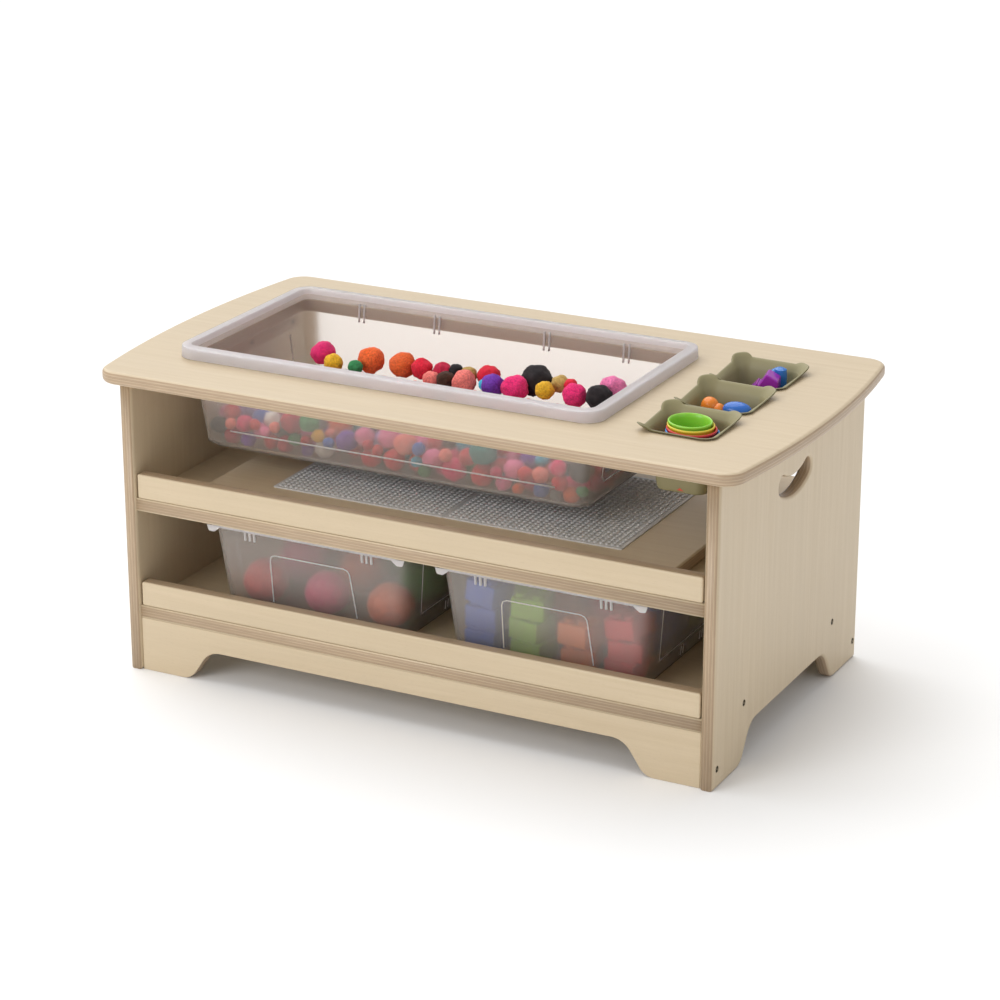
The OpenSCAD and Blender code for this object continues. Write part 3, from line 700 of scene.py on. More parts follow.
def strip(points, width, height, out):
    """Raised half-round line along points on a wall; out is the wall's outward direction."""
    verts = []
    out = Vector(out)
    for i, p in enumerate(points):
        p = Vector(p)
        before, after = points[max(i - 1, 0)], points[min(i + 1, len(points) - 1)]
        along = (Vector(after) - Vector(before)).normalized()
        side = along.cross(out).normalized()
        for a, h in STRIP_SHAPE:
            verts.append(p + side * a * width / 2 + out * h * height)
    return [tuple(v) for v in verts], tube_faces(len(STRIP_SHAPE), len(points))


def blend(a, b, t):
    return a + (b - a) * t


def mark_rim(o, count, start, end):
    """Gives the bands of a loft between two of its levels the second material."""
    bands = len(o.data.polygons) - 2
    per = bands // (count - 1)
    for i, poly in enumerate(o.data.polygons):
        poly.material_index = int(i < bands and start <= i // per < end)


def tapered_box(lo, hi, lip, taper, wall, r, thin):
    """Sections of a moulded box: at() on its wall, rim() set in from its rim, foot() near its floor.
    wall is its thickness and thin how much smaller the inner corner radius is."""
    half_l, half_w = (hi.x - lo.x) / 2, (hi.y - lo.y) / 2

    def at(z, inner=False):
        t = (z - lo.z) / (hi.z - lo.z)
        d = lip + taper * (1 - t) + (wall if inner else 0)
        return half_l - d, half_w - d, r - lip - (thin if inner else 0), z

    def rim(d, less_r, z, *lift):
        return half_l - d * MM, half_w - d * MM, r - less_r * MM, z, *lift

    def foot(d, foot_r, up, inner=False):
        section = at(lo.z, inner)
        return section[0] - d * MM, section[1] - d * MM, foot_r * MM, lo.z + up * MM

    return at, rim, foot


def build_tub():
    tub_lo, tub_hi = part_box("tub")
    c = (tub_lo + tub_hi) / 2
    floor, top, deck = tub_lo.z, tub_hi.z, top_hi.z
    wall, taper = 2.5 * MM, 15 * MM
    at, rim, foot = tapered_box(tub_lo, tub_hi, TUB_LIP, taper, wall, TUB_R, wall)
    levels = [foot(6, 22, 0), foot(2, 26, 1.5), at(floor + 6 * MM)]
    levels += [at(z) for z in (blend(floor, deck, 0.35), blend(floor, deck, 0.7), deck + 1 * MM)]
    rim_from = len(levels) - 1
    # under the rolled rim, out and up its skirt, over its crown and back to the inner wall
    levels += [rim(d, dr, top - z * MM) for d, dr, z in ((9, 9, 4.0), (3.6, 3, 4.6))]
    levels += [rim(d, dr, deck + z * MM) for d, dr, z in ((2.4, 2, 0.5), (0.3, 0, 0.7), (0, 0, 1.6))]
    levels += [rim(d, dr, top - z * MM) for d, dr, z in
               ((0.5, 0, 2.4), (1.2, 1, 1.0), (2.8, 2, 0.5), (10.2, 10, 0.7), (11.6, 11, 0), (13.4, 13, 0.3),
                (14.4, 14, 2.4))]
    rim_to = len(levels)
    inside = (top - 8 * MM, blend(floor, deck, 0.7), blend(floor, deck, 0.35), floor + 9 * MM)
    levels += [at(z, True) for z in inside]
    levels += [foot(3, 24, 4.2, True), foot(10, 20, 2.6, True)]
    v, f = loft(levels, c.x, c.y)
    shell = make_piece("tub_shell", v, f, (FROST, FROST_RIM), "play_tub", "clear_plastic", ("tub",),
                       sharp=50)
    mark_rim(shell, len(levels), rim_from, rim_to)
    make_piece("tub_ribs", *join_parts(tub_ribs(c, floor, top, at)), FROST_MARK, "play_tub", "clear_plastic")


def tub_ribs(c, floor, top, at):
    """Pairs of ribs inside under the rim, and a moulded line round the outside that ends in uprights."""
    parts = []
    for side in (-1, 1):
        for x in (-0.205, -0.085, 0.085, 0.205):
            for d in (-4 * MM, 4 * MM):
                pts = []
                for k in range(5):
                    z = top - 12 * MM - 26 * MM * k / 4
                    pts.append((c.x + x + d, c.y + side * (at(z, True)[1] - 0.2 * MM), z))
                parts.append(strip(pts, 3.0 * MM, 1.6 * MM, (0, -side, 0)))
    z = floor + 27 * MM
    half_l, half_w = at(z)[:2]
    for side in (-1, 1):
        pts = [(c.x - half_l + 0.045 + k * (2 * half_l - 0.09) / 8, c.y + side * half_w, z)
               for k in range(9)]
        parts.append(strip(pts, 2.2 * MM, 0.7 * MM, (0, side, 0)))
    bend = ((0.100, z + 62 * MM), (0.100, z + 8 * MM), (0.092, z))
    path = [(-y, up) for y, up in bend] + list(reversed(bend))
    for side in (-1, 1):
        pts = [(c.x + side * at(up)[0], c.y + y, up) for y, up in path]
        parts.append(strip(pts, 2.2 * MM, 0.7 * MM, (side, 0, 0)))
    return parts


def hook_lump(x, y, turn, out, top):
    """Rounded catch that hangs under a bin's rim, pointed towards the middle of the bin."""
    loop = rounded_outline([(-9 * MM, top, 0), (-7 * MM, top - 7 * MM, 2.5 * MM),
                            (1 * MM, top - 7.5 * MM, 3 * MM), (7 * MM, top - 3 * MM, 2 * MM),
                            (10 * MM, top, 0)], 4)
    verts = []
    for depth, d in ((0, 0), (1.7 * MM, 0), (2.3 * MM, 0.6 * MM)):
        ring = inset_loop(loop, -d) if d else loop
        verts += [(x - p.x * turn * out, y + depth * out, p.y) for p in ring]
    return verts, tube_faces(len(loop), 3)


def build_bin(node, body, side_name):
    lo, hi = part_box(node)
    c = (lo + hi) / 2
    half = ((hi.x - lo.x) / 2, (hi.y - lo.y) / 2)
    lip, wall, taper, r = 8 * MM, 2.5 * MM, 13 * MM, 26 * MM
    depth = hi.z - lo.z
    at, rim, foot = tapered_box(lo, hi, lip, taper, wall, r, 0)

    def dip(x, y):
        """The rim's skirt hangs lower in the middle of each side than near the corners."""
        fx = 1 - min(1, abs(x) / (half[0] - 40 * MM)) ** 6
        fy = 1 - min(1, abs(y) / (half[1] - 40 * MM)) ** 6
        on_end, on_side = abs(y) > half[1] - 25 * MM, abs(x) > half[0] - 25 * MM
        return (-6.5 * MM * max(fx if on_end else 0, fy if on_side else 0), 0)

    levels = [foot(5, 14, 0), foot(1, 17, 1.6)]
    levels += [at(z) for z in (lo.z + 6 * MM, lo.z + depth * 0.4, lo.z + depth * 0.75, hi.z - 6 * MM)]
    rim_from = len(levels) - 1
    levels += [rim(3, 3, hi.z - 4.5 * MM), rim(2.2, 2, hi.z - 6.8 * MM, dip),
               rim(0.2, 0, hi.z - 7.0 * MM, dip)]
    levels += [rim(d, dr, hi.z - z * MM) for d, dr, z in
               ((0, 0, 2.5), (1.0, 1, 0.6), (3.5, 3, 0), (9.2, 8, 0.6), (10.6, 9, 3))]
    rim_to = len(levels)
    levels += [at(z, True) for z in (hi.z - 8 * MM, lo.z + depth * 0.75, lo.z + depth * 0.4, lo.z + 8 * MM)]
    levels += [foot(3, 14, 3.6, True), foot(8, 10, 2.5, True)]
    v, f = loft(levels, c.x, c.y)
    shell = make_piece(side_name + "_shell", v, f, (FROST, FROST_RIM), body, "clear_plastic", (node,),
                       sharp=50)
    mark_rim(shell, len(levels), rim_from, rim_to)
    parts = []
    for end in (-1, 1):
        # hook lumps at the corners of the rim, short ribs under it, an embossed label frame
        for x in (-1, 1):
            hx = c.x + x * (half[0] - 16 * MM)
            y0 = c.y + end * (half[1] - 2.4 * MM)
            parts.append(hook_lump(hx, y0, end * x, end, hi.z - 5.5 * MM))
            for k in (-1, 0, 1):
                pts = []
                for j in range(4):
                    z = hi.z - 10 * MM - 12 * MM * j / 3
                    pts.append((c.x + x * 0.089 + k * 7 * MM, c.y + end * at(z)[1], z))
                parts.append(strip(pts, 3.6 * MM, 2.0 * MM, (0, end, 0)))
        top_z, low_z = hi.z - 37 * MM, lo.z + 24 * MM
        path = [(-0.060, low_z), (-0.060, top_z - 8 * MM), (-0.058, top_z - 2.5 * MM), (-0.052, top_z),
                (0.052, top_z), (0.058, top_z - 2 * MM), (0.061, top_z - 7 * MM), (0.068, low_z)]
        pts = [(c.x + x, c.y + end * at(z)[1], z) for x, z in path]
        parts.append(strip(pts, 1.8 * MM, 0.7 * MM, (0, end, 0)))
        # recessed panel line and low ribs on the long walls
        path = [(-0.140, hi.z - 22 * MM), (-0.134, lo.z + 26 * MM), (0.134, lo.z + 26 * MM),
                (0.140, hi.z - 22 * MM)]
        pts = [(c.x + end * at(z)[0], c.y + y, z) for y, z in path]
        parts.append(strip(pts, 2.0 * MM, 0.8 * MM, (end, 0, 0)))
        for y in (-0.06, 0.0, 0.06):
            for d in (-3.5 * MM, 3.5 * MM):
                heights = (lo.z + 8 * MM, lo.z + 14 * MM, lo.z + 20 * MM)
                pts = [(c.x + end * at(z)[0], c.y + y + d, z) for z in heights]
                parts.append(strip(pts, 2.0 * MM, 1.0 * MM, (end, 0, 0)))
    v, f = join_parts(parts)
    make_piece(side_name + "_ridges", v, f, FROST_MARK, body, "clear_plastic", sharp=40)


def build_bowl(node, body):
    """Soft square bowl: a flared rim with a curled tip, a tall ear, a wide lobe and a low corner."""
    lo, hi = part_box(node)
    c = (lo + hi) / 2
    deck = top_hi.z
    cup = (hi.x - lo.x) / 2 - FLANGE_L, (hi.y - lo.y) / 2 - FLANGE_W
    bend = random.Random(node)
    # corner, rise and reach in mm, and spread in radians
    corners = [(-1, -1, 6.5, 8.5, 0.17), (-1, 1, 11.2, 4.5, 0.27), (1, 1, 7.5, 7.5, 0.29),
               (1, -1, 0.3, 3.0, 0.3)]
    corners = [(x, y, h * bend.uniform(0.92, 1.05) * MM, o * MM, s) for x, y, h, o, s in corners]

    def shape(share):
        def lift(x, y):
            a = math.atan2(y / cup[1], x / cup[0])
            up = out = 0.0
            for cx, cy, h, o, spread in corners:
                d = (a - math.atan2(cy, cx) + math.pi) % TAU - math.pi
                g = math.exp(-abs(d / spread) ** 5)
                up += h * g
                out += o * g
            back = 1.0 * MM * max(0.0, y / cup[1]) ** 2
            wave = 0.3 * MM * math.sin(3 * a + 1)
            return ((up + back + wave) * share, out * share)
        return lift

    foot = cup[0] - 10 * MM, cup[1] - 10 * MM
    wall = 2.2 * MM
    levels = [(foot[0] - 5 * MM, foot[1] - 5 * MM, 10 * MM, lo.z),
              (foot[0] - 1 * MM, foot[1] - 1 * MM, 13 * MM, lo.z + 1.5 * MM),
              (foot[0], foot[1], 13 * MM, lo.z + 5 * MM),
              (blend(foot[0], cup[0], 0.5), blend(foot[1], cup[1], 0.5), 15 * MM, blend(lo.z, deck, 0.5)),
              (cup[0], cup[1], CUP_R, deck + 0.2 * MM)]
    # out over the deck, up round the lip's edge and back in: reach, corner, rise and share of the wave
    levels += [(cup[0] + dl * MM, cup[1] + dw * MM, CUP_R + dr * MM, deck + z * MM, shape(share))
               for dl, dw, dr, z, share in
               ((3.0, 2.6, 3, 0.5, 0.10), (4.8, 4.2, 4, 1.2, 0.45), (5.8, 5.2, 5, 2.0, 0.90),
                (6.2, 5.6, 5, 2.8, 1.0), (5.2, 4.6, 4.5, 3.6, 1.0), (4.0, 3.4, 4, 3.2, 0.97),
                (2.2, 1.6, 2, 1.6, 0.7), (-0.4, -0.4, 0, -0.5, 0.14))]
    middle_l, middle_w = blend(foot[0], cup[0], 0.4), blend(foot[1], cup[1], 0.4)
    levels += [(cup[0] - wall, cup[1] - wall, CUP_R - 2 * MM, deck - 5 * MM),
               (middle_l - wall, middle_w - wall, 13 * MM, blend(lo.z, deck, 0.4)),
               (foot[0] - wall, foot[1] - wall, 11 * MM, lo.z + 7 * MM),
               (foot[0] - 5 * MM, foot[1] - 5 * MM, 9 * MM, lo.z + 3 * MM)]
    v, f = loft(levels, c.x, c.y, 14)
    shell = make_piece(body + "_shell", v, f, (OLIVE, OLIVE_RIM_SHADE), body, "olive_silicone", (node,), sharp=75)
    # the lip's outer edge bands take the darker olive copy, painted shade
    mark_rim(shell, len(levels), 7, 9)


build_tub()
build_bin("bin_left", "left_bin", "left_bin")
build_bin("bin_right", "right_bin", "right_bin")
for node, body in zip(BOWL_NODES, ("front_bowl", "middle_bowl", "back_bowl")):
    build_bowl(node, body)


# ---------------------------------------------------------------- loose pompoms in the tub
def tuft_balls(subdivisions, count, seed, rough):
    """A few unit spheres of cut yarn, each a little lumpy, as (vertices, faces)."""
    bm = bmesh.new()
    bmesh.ops.create_icosphere(bm, subdivisions=subdivisions, radius=1)
    base = np.array([v.co[:] for v in bm.verts])
    faces = np.array([[v.index for v in f.verts] for f in bm.faces])
    bm.free()
    rng = np.random.default_rng(seed)
    shapes = []
    for k in range(count):
        lumps = np.array([noise.noise(Vector(p) * 1.7 + Vector((k * 9.1, 0, 0))) for p in base])
        tufts = np.array([noise.noise(Vector(p) * 6.0 + Vector((0, k * 9.1, 0))) for p in base])
        loose = rough * rng.uniform(-1, 1, len(base))
        shapes.append(base * (0.97 + 0.12 * lumps + 0.06 * tufts + loose)[:, None])
    return shapes, faces


def pompom_mesh(name, balls, shapes, faces, rng):
    """One mesh of many pompoms, each turned its own way, with its colour kept in an attribute."""
    verts, polys, tones = [], [], []
    for k, (x, y, z, r, tone) in enumerate(balls):
        q = np.array(Euler(tuple(rng.uniform(0, TAU, 3))).to_matrix())
        squash = np.array([rng.uniform(0.94, 1.05), rng.uniform(0.94, 1.05), rng.uniform(0.92, 1.0)])
        shape = shapes[int(rng.integers(len(shapes)))] @ q.T * r * squash + (x, y, z)
        verts.append(shape)
        polys.append(faces + k * len(shape))
        shade = np.array(YARNS[tone]) * rng.uniform(0.85, 1.1)
        tones.append(np.tile(np.append(np.clip(shade, 0, 1), 1), (len(shape), 1)))
    verts, polys = np.concatenate(verts), np.concatenate(polys)
    mesh = bpy.data.meshes.new(name)
    mesh.from_pydata(verts.tolist(), [], polys.tolist())
    layer = mesh.color_attributes.new("yarn", "FLOAT_COLOR", "POINT")
    layer.data.foreach_set("color", np.concatenate(tones).astype(np.float32).ravel())
    return finish_piece(name, mesh, YARN, "play_tub", "pompom_yarn", ("tub_pompoms",))


# Big pompoms that stand out along the crest: colour, radius and place along the tub in mm
BACK_ROW = (("magenta", 15, -178), ("orange", 17, -104), ("orange", 16, -56), ("red", 13, -24),
            ("crimson", 12, 6), ("black", 10, 24), ("tan", 10, 46), ("red", 14, 76), ("black", 19, 144),
            ("tan", 11, 180), ("red", 8, 196), ("pink", 17, 256))
FRONT_ROW = (("yellow", 12, -148), ("green", 9, -112), ("salmon", 10, 4), ("brown", 11, 24),
             ("salmon", 15, 52), ("cyan", 8, 84), ("purple", 14, 94), ("magenta", 16, 128),
             ("yellow", 11, 170), ("magenta", 14, 216), ("black", 15, 250))
# How often each colour comes up in the heap
TONE_SHARE = (("magenta", 8), ("pink", 6), ("red", 6), ("crimson", 3), ("salmon", 4), ("orange", 4),
              ("yellow", 2), ("tan", 1), ("brown", 1), ("black", 3), ("green", 1), ("teal", 1), ("cyan", 2),
              ("blue", 2), ("purple", 3), ("lilac", 3), ("white", 1), ("grey", 2))


def crest_pompoms(cx, rng):
    crest = []
    for row, y0, z0 in ((BACK_ROW, -0.002, 0.4065), (FRONT_ROW, -0.030, 0.4035)):
        for tone, r, x in row:
            y = y0 + rng.uniform(-3, 3) * MM
            crest.append((cx + x * MM, y, z0 + max(0, x) * MM * 0.045, r * 1.15 * MM, tone))
    return crest


def drop_heap(lo, hi, surface, rng):
    """Drops balls one by one at the lowest of a few places until they rise above the heap's surface."""
    cx, half_l, half_w = (lo.x + hi.x) / 2, (hi.x - lo.x) / 2, (hi.y - lo.y) / 2
    palette = [tone for tone, share in TONE_SHARE for _ in range(share)]
    sizes, chances = (8, 9.5, 11, 12.5, 14, 16, 18), (0.12, 0.16, 0.20, 0.18, 0.14, 0.12, 0.08)
    squeeze, most_misses, most_balls, places = 0.93, 50, 1300, 36
    heap = np.zeros((0, 4))
    tones = []
    misses = 0
    while misses < most_misses and len(heap) < most_balls:
        r = rng.choice(sizes, p=chances) * MM
        edge = half_l * 1.02, half_w * 1.1
        spots = rng.uniform((-edge[0], -edge[1]), edge, (places, 2))
        spots = np.clip(spots, (-half_l + r, -half_w + r), (half_l - r, half_w - r))
        rest = np.full(len(spots), lo.z + r)
        if len(heap):
            reach = squeeze * (r + heap[:, 3])
            flat = np.hypot(spots[:, 0:1] + cx - heap[:, 0], spots[:, 1:2] - heap[:, 1])
            top = heap[:, 2] + np.sqrt(np.maximum(0, reach**2 - flat**2))
            rest = np.maximum(rest, np.where(flat < reach, top, -1).max(axis=1))
        k = int(rest.argmin())
        if rest[k] + r > surface(spots[k, 1]):
            misses += 1
            continue
        misses = 0
        heap = np.vstack((heap, (spots[k, 0] + cx, spots[k, 1], rest[k], r)))
        tones.append(palette[int(rng.integers(len(palette)))])
    return zip(heap, tones)


def build_pompoms():
    """A dropped heap with a ridge along the front, finer balls where they are seen from above."""
    rng = np.random.default_rng(11)
    lo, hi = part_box("tub_pompoms")
    cx, half_l, half_w = (lo.x + hi.x) / 2, (hi.x - lo.x) / 2, (hi.y - lo.y) / 2
    ridge_y, back_z = lo.y + POMPOM_RIDGE_IN, lo.z + POMPOM_BACK_UP
    most_fine, wall_lean, tub_h = 150, 15, 144

    def surface(y):
        t = max(0.0, (y - ridge_y) / (hi.y - ridge_y))
        return blend(hi.z + 2 * MM, back_z, t)

    fine, coarse = crest_pompoms(cx, rng), []
    big = np.array([c[:4] for c in fine])
    for (x, y, z, r), tone in drop_heap(lo, hi, surface, rng):
        near = np.linalg.norm(big[:, :3] - (x, y, z), axis=1) - (big[:, 3] + r)
        if near.min() < -0.45 * r:
            continue
        # balls that stand near a wall sit right against it, as the wall leans out
        lean = (z - lo.z) * wall_lean / tub_h
        x += math.copysign(lean, x - cx) * max(0.0, abs(x - cx) / half_l - 0.85) / 0.15
        y += math.copysign(lean, y) * max(0.0, abs(y) / half_w - 0.75) / 0.25
        seen = z + r > surface(y) - 16 * MM and y < 0.0
        (fine if seen and len(fine) < most_fine else coarse).append((x, y, z, r, tone))
    pompom_mesh("pompoms_crest", fine, *tuft_balls(4, 5, 1, 0.02), rng)
    shapes, faces = tuft_balls(3, 6, 2, 0.03)
    left, right = [b for b in coarse if b[0] < cx], [b for b in coarse if b[0] >= cx]
    for name, part in (("pompoms_left", left), ("pompoms_right", right)):
        pompom_mesh(name, part, shapes, faces, rng)


build_pompoms()


# ---------------------------------------------------------------- stacking cups and small toys in the bowls
def lathe(profile, centre, tilt=(0, 0, 0), sides=48):
    """Surface of revolution through (radius, height) points about a tilted upright axis."""
    q = Euler(tilt).to_matrix()
    verts = []
    for r, z in profile:
        for k in range(sides):
            a = TAU * k / sides
            p = q @ Vector((r * math.cos(a), r * math.sin(a), z)) + Vector(centre)
            verts.append(tuple(p))
    return verts, tube_faces(sides, len(profile))


def build_cup(node, colour, shift, tilt):
    """Thin cup with a rolled lip, stepped towards its foot."""
    lo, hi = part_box(node)
    c = (lo + hi) / 2
    r, h, wall = (hi.x - lo.x) / 2, hi.z - lo.z, 1.5 * MM
    foot = r - 5 * MM
    profile = [(foot - 2 * MM, 0), (foot, 1.2 * MM), (foot + 1 * MM, h * 0.3),
               (blend(foot, r, 0.7), h - 9 * MM)]
    lip = ((1.6, 7), (1.2, 3.4), (0, 2.8), (-0.1, 1.2), (0.8, 0.1), (1.8, 0.3), (2.8, 2.2))
    profile += [(r - d * MM, h - z * MM) for d, z in lip]
    profile += [(r - wall - 1.8 * MM, h - 6 * MM), (foot - 0.5 * MM, h * 0.3), (foot - 2.5 * MM, 2 * MM),
                (foot - 5 * MM, 1.6 * MM)]
    v, f = lathe(profile, (c.x + shift, c.y, lo.z), (0, tilt, 0))
    silicone = plastic_material(node + "_silicone", colour, 0.30, 0.1, 0.15)
    make_piece(node + "_ring", v, f, silicone, "front_bowl", node.replace("cup_", "") + "_silicone", (node,))


def blob(size, centre, bumps, seed, turn=0.0, subdivisions=5):
    """Rounded body with lumps: an ellipsoid pushed out by a sum of soft bumps."""
    bm = bmesh.new()
    bmesh.ops.create_icosphere(bm, subdivisions=subdivisions, radius=1)
    rng = random.Random(seed)
    tips = []
    for _ in range(bumps):
        tip = Vector((rng.gauss(0, 1), rng.gauss(0, 1), rng.gauss(0, 1))).normalized()
        tips.append((tip, rng.uniform(0.6, 1)))
    q = Euler((0, 0, turn)).to_matrix()
    verts = []
    for v in bm.verts:
        d = v.co.normalized()
        push = sum(0.07 * g * math.exp(-((d - t).length / 0.42) ** 2) for t, g in tips)
        p = q @ Vector((d.x * size[0], d.y * size[1], d.z * size[2])) * (0.9 + push)
        verts.append(tuple(p + Vector(centre)))
    faces = [tuple(v.index for v in f.verts) for f in bm.faces]
    bm.free()
    return verts, faces


def prism(points, depth, centre, tilt):
    """Flat outline with a bevelled front and back, for moulded toy parts."""
    loop = rounded_outline(points, 5)
    q = Euler(tilt).to_matrix()
    verts = []
    b, half = 1.4 * MM, depth / 2
    for d, w in ((b, -half), (0, -half + b), (0, half - b), (b, half)):
        for p in (inset_loop(loop, d) if d else loop):
            verts.append(tuple(q @ Vector((p.x, w, p.y)) + Vector(centre)))
    return verts, tube_faces(len(loop), 4)


def build_cups():
    tints = {"cup_coral": (0.80, 0.13, 0.08), "cup_blue": (0.05, 0.30, 0.72), "cup_red": (0.72, 0.05, 0.05),
             "cup_yellow": (0.82, 0.62, 0.05), "cup_green": (0.30, 0.66, 0.06)}
    for k, (node, tint) in enumerate(tints.items()):
        build_cup(node, tint, (2.0 - 0.9 * k) * MM, math.radians(3.0 - 0.3 * k))


def build_figures():
    for node, tint, slot in (("figure_orange", (0.86, 0.24, 0.02), "orange_plastic"),
                             ("figure_blue", (0.03, 0.16, 0.60), "blue_plastic")):
        lo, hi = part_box(node)
        c = (lo + hi) / 2
        r, h = (hi.x - lo.x) / 2, hi.z - lo.z
        trunk = (c.x, c.y, blend(lo.z, hi.z, 0.45))
        if node == "figure_orange":
            parts = [blob((r, r, h * 0.50), trunk, 10, 3)]
            parts.append(blob((r * 0.95, r * 0.9, r), (c.x - 6 * MM, c.y, hi.z - r * 0.86), 12, 4))
            ear = (c.x + 6 * MM, c.y - 1 * MM, hi.z - r * 1.25)
            parts.append(blob((r * 0.8, r * 0.8, r * 0.9), ear, 12, 8))
        else:
            parts = [blob((r * 1.05, r * 1.02, h * 0.50), trunk, 5, 5)]
            back = (c.x + 2 * MM, c.y, hi.z - r * 0.85)
            parts.append(blob((r * 1.50, r * 1.0, r * 0.9), back, 3, 9, 0.2))
        v, f = join_parts(parts)
        shell = plastic_material(node + "_shell", tint, 0.22, 0.05, 0.1)
        make_piece(node + "_toy", v, f, shell, "middle_bowl", slot, (node,))


def build_scoops():
    for node, tint, slot in (("scoop_purple", (0.33, 0.02, 0.40), "purple_plastic"),
                             ("scoop_blue", (0.02, 0.17, 0.55), "blue_plastic")):
        lo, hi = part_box(node)
        c = (lo + hi) / 2
        r, h = (hi.x - lo.x) / 2, hi.z - lo.z
        if node == "scoop_purple":
            outline = [(-r * 1.25, h * 0.72, 2 * MM), (-r, 0, 3 * MM), (r, 0, 3 * MM),
                       (r * 1.2, h * 0.9, 4 * MM), (r * 0.2, h, 3 * MM),
                       (-r * 0.5, h * 0.80, 1.5 * MM), (-r * 0.55, h * 0.86, 1 * MM)]
            v, f = prism(outline, 2 * r * 0.86, (c.x, c.y, lo.z), (0, 0, 0.25))
        else:
            profile = [(r * 0.6, 0), (r, 3 * MM), (r * 1.05, h * 0.85), (r * 0.9, h - 2 * MM), (r * 0.45, h)]
            knob = blob((r * 1.2, r, r * 0.8), (c.x, c.y, hi.z - r * 0.9), 3, 6)
            v, f = join_parts([lathe(profile, (c.x, c.y, lo.z), (0, 0.05, 0), 32), knob])
        gloss = plastic_material(node + "_gloss", tint, 0.16, 0.03, 0.1)
        make_piece(node + "_toy", v, f, gloss, "back_bowl", slot, (node,), sharp=40)


def build_small_ball():
    lo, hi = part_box("ball_small")
    c, r = (lo + hi) / 2, (hi.x - lo.x) / 2
    v, f = blob((r, r, r), c, 16, 7, 0.0, 4)
    red = plastic_material("knob_red", (0.66, 0.03, 0.04), 0.3, 0.05, 0.15)
    make_piece("small_knobbly_ball", v, f, red, "back_bowl", "red_plastic", ("ball_small",))


build_cups()
build_figures()
build_scoops()
build_small_ball()


# ---------------------------------------------------------------- soft balls and toy bricks in the bins
def build_bin_balls():
    """Soft foam balls with dimples in rings and a moulded seam."""
    ring_gap = 0.42
    for node, tint in (("balls_red", (0.70, 0.02, 0.03)), ("balls_pink", (0.80, 0.05, 0.25)),
                       ("balls_orange", (0.84, 0.14, 0.02)), ("balls_green", (0.10, 0.42, 0.08))):
        rng = random.Random(node)
        parts = []
        for lo, hi in mesh_islands(node):
            c, r = (lo + hi) / 2, (hi.x - lo.x) / 2
            q = Euler([rng.uniform(0, TAU) for _ in range(3)]).to_matrix()
            bm = bmesh.new()
            bmesh.ops.create_icosphere(bm, subdivisions=5, radius=1)
            verts = []
            for v in bm.verts:
                d = v.co.normalized()
                lat, lon = math.asin(max(-1, min(1, d.z))), math.atan2(d.y, d.x)
                ring = round(lat / ring_gap)
                count = max(1, round(15 * math.cos(ring * ring_gap)))
                off = (lon * count / TAU) % 1 - 0.5
                near = math.hypot((lat - ring * ring_gap) / ring_gap, off) / 0.30
                dent = 0.055 * math.exp(-near**2) + 0.03 * math.exp(-(d.x / 0.03) ** 2)
                verts.append(tuple(q @ (d * r * (1.0 - dent)) + c))
            parts.append((verts, [tuple(v.index for v in f.verts) for f in bm.faces]))
            bm.free()
        v, f = join_parts(parts)
        foam = plastic_material(node + "_foam", tint, 0.55, 0.3, 0.1)
        make_piece(node + "_soft", v, f, foam, "left_bin", node.replace("balls_", "") + "_foam", (node,))


def brick(size, height, stud_r, stud_h):
    """Bevelled toy brick with four studs, base centred on the origin."""
    h, b = size / 2, 1.6 * MM
    ring = rect_outline(size, size, 3 * MM, steps=4)
    verts = []
    for d, z in ((b, 0), (0, b), (0, height - b), (b, height)):
        verts += [(p.x, p.y, z) for p in (inset_loop(ring, d) if d else ring)]
    parts = [(verts, tube_faces(len(ring), 4))]
    foot = height - 1 * MM
    stud = [(stud_r, foot), (stud_r, foot + stud_h), (stud_r - 1 * MM, height + stud_h)]
    for x in (-h / 2, h / 2):
        for y in (-h / 2, h / 2):
            parts.append(lathe(stud, (x, y, 0), sides=20))
    return join_parts(parts)


BRICK_RISE = 34 * MM


def build_bricks():
    """Every block of the CAD as a loose pile of studded bricks, turned a little each."""
    stud_r, stud_h = 7.5 * MM, 5 * MM
    for node, tint in (("blocks_blue", (0.03, 0.14, 0.72)), ("blocks_green", (0.30, 0.62, 0.04)),
                       ("blocks_orange", (0.82, 0.20, 0.03)), ("blocks_red", (0.74, 0.02, 0.05))):
        rng = random.Random(node + "a")
        parts = []
        for lo, hi in mesh_islands(node):
            c = (lo + hi) / 2
            size, rise = hi.x - lo.x, hi.z - lo.z
            count = max(2, round(rise / BRICK_RISE))
            step = (rise - stud_h) / count
            for k in range(count):
                v, f = brick(size * 0.96, step - 0.6 * MM, stud_r, stud_h)
                top = k == count - 1
                tilt = (rng.uniform(-0.16, 0.16), rng.uniform(-0.2, 0.2)) if top else (0, 0)
                q = Euler((tilt[0], tilt[1], rng.uniform(-0.22, 0.22))).to_matrix()
                x, y = c.x + rng.uniform(-3, 3) * MM, c.y + rng.uniform(-4, 4) * MM
                base = Vector((x, y, lo.z + k * step + (3 * MM if top else 0)))
                parts.append(([tuple(q @ Vector(p) + base) for p in v], f))
        v, f = join_parts(parts)
        hard = plastic_material(node + "_abs", tint, 0.25, 0.05, 0.1)
        slot = node.replace("blocks_", "") + "_plastic"
        make_piece(node + "_bricks", v, f, hard, "right_bin", slot, (node,), sharp=40)


build_bin_balls()
build_bricks()

# ---------------------------------------------------------------- stage, camera and light


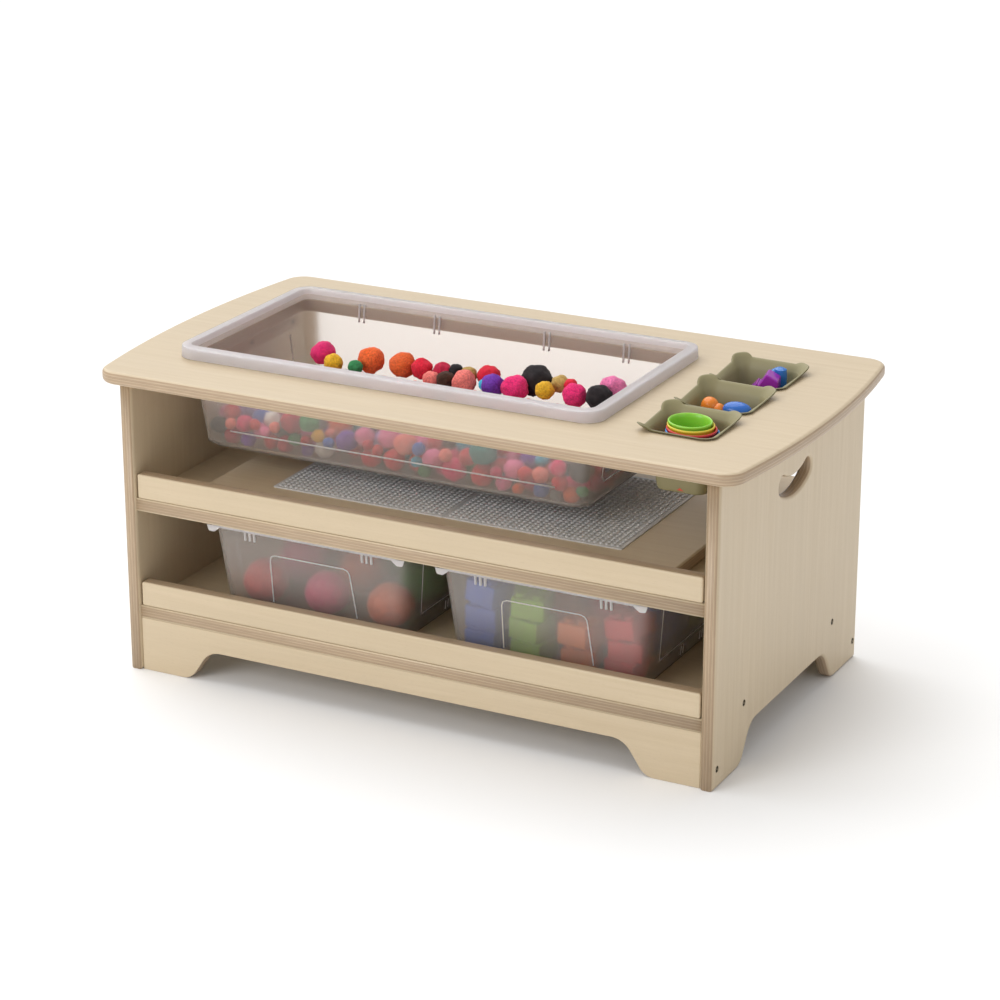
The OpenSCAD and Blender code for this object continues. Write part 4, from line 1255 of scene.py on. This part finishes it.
def look_from(azimuth, elevation, target, distance, lens):
    a, e = math.radians(azimuth), math.radians(elevation)
    back = Vector((math.sin(a) * math.cos(e), -math.cos(a) * math.cos(e), math.sin(e)))
    data = bpy.data.cameras.new("camera")
    data.lens = lens
    data.sensor_width = 36
    data.clip_end = 50
    cam = bpy.data.objects.new("camera", data)
    cam.location = Vector(target) + back * distance
    cam.rotation_euler = back.to_track_quat("Z", "Y").to_euler()
    bpy.context.scene.collection.objects.link(cam)
    bpy.context.scene.camera = cam
    return cam


def area_light(name, place, aim, size, power, colour=(1, 1, 1)):
    data = bpy.data.lights.new(name, "AREA")
    data.shape = "DISK"
    data.size = size
    data.energy = power
    data.color = colour
    o = bpy.data.objects.new(name, data)
    o.location = place
    o.rotation_euler = (Vector(place) - Vector(aim)).to_track_quat("Z", "Y").to_euler()
    bpy.context.scene.collection.objects.link(o)


def sun_light(name, place, spread, strength):
    data = bpy.data.lights.new(name, "SUN")
    data.angle = math.radians(spread)
    data.energy = strength
    o = bpy.data.objects.new(name, data)
    o.rotation_euler = Vector(place).to_track_quat("Z", "Y").to_euler()
    bpy.context.scene.collection.objects.link(o)


def white_floor():
    mesh = bpy.data.meshes.new("floor")
    mesh.from_pydata([(-6, -6, 0), (6, -6, 0), (6, 6, 0), (-6, 6, 0)], [], [(0, 1, 2, 3)])
    m, _, bsdf = new_material("floor_paper")
    bsdf.inputs["Base Color"].default_value = (0.93, 0.93, 0.93, 1)
    bsdf.inputs["Roughness"].default_value = 0.9
    bsdf.inputs["Specular IOR Level"].default_value = 0.1
    mesh.materials.append(m)
    o = bpy.data.objects.new("floor", mesh)
    bpy.context.scene.collection.objects.link(o)


def white_surroundings(strength):
    world = bpy.data.worlds.new("studio")
    bpy.context.scene.world = world
    world.use_nodes = True
    background = world.node_tree.nodes["Background"]
    background.inputs["Color"].default_value = (1, 1, 1, 1)
    background.inputs["Strength"].default_value = strength


look_from(VIEW_AZIMUTH, VIEW_ELEVATION, VIEW_TARGET, VIEW_DISTANCE, VIEW_LENS)
sun_light("sky", (-0.55, 0.34, 1.0), 75, 2.2)
area_light("front", (-1.2, -3.2, 1.6), (0, 0, 0.25), 2.2, 49)
area_light("side", (3.0, -0.6, 1.2), (0, 0, 0.25), 1.6, 5)
white_surroundings(0.56)
white_floor()
bpy.context.scene.view_settings.view_transform = "Standard"
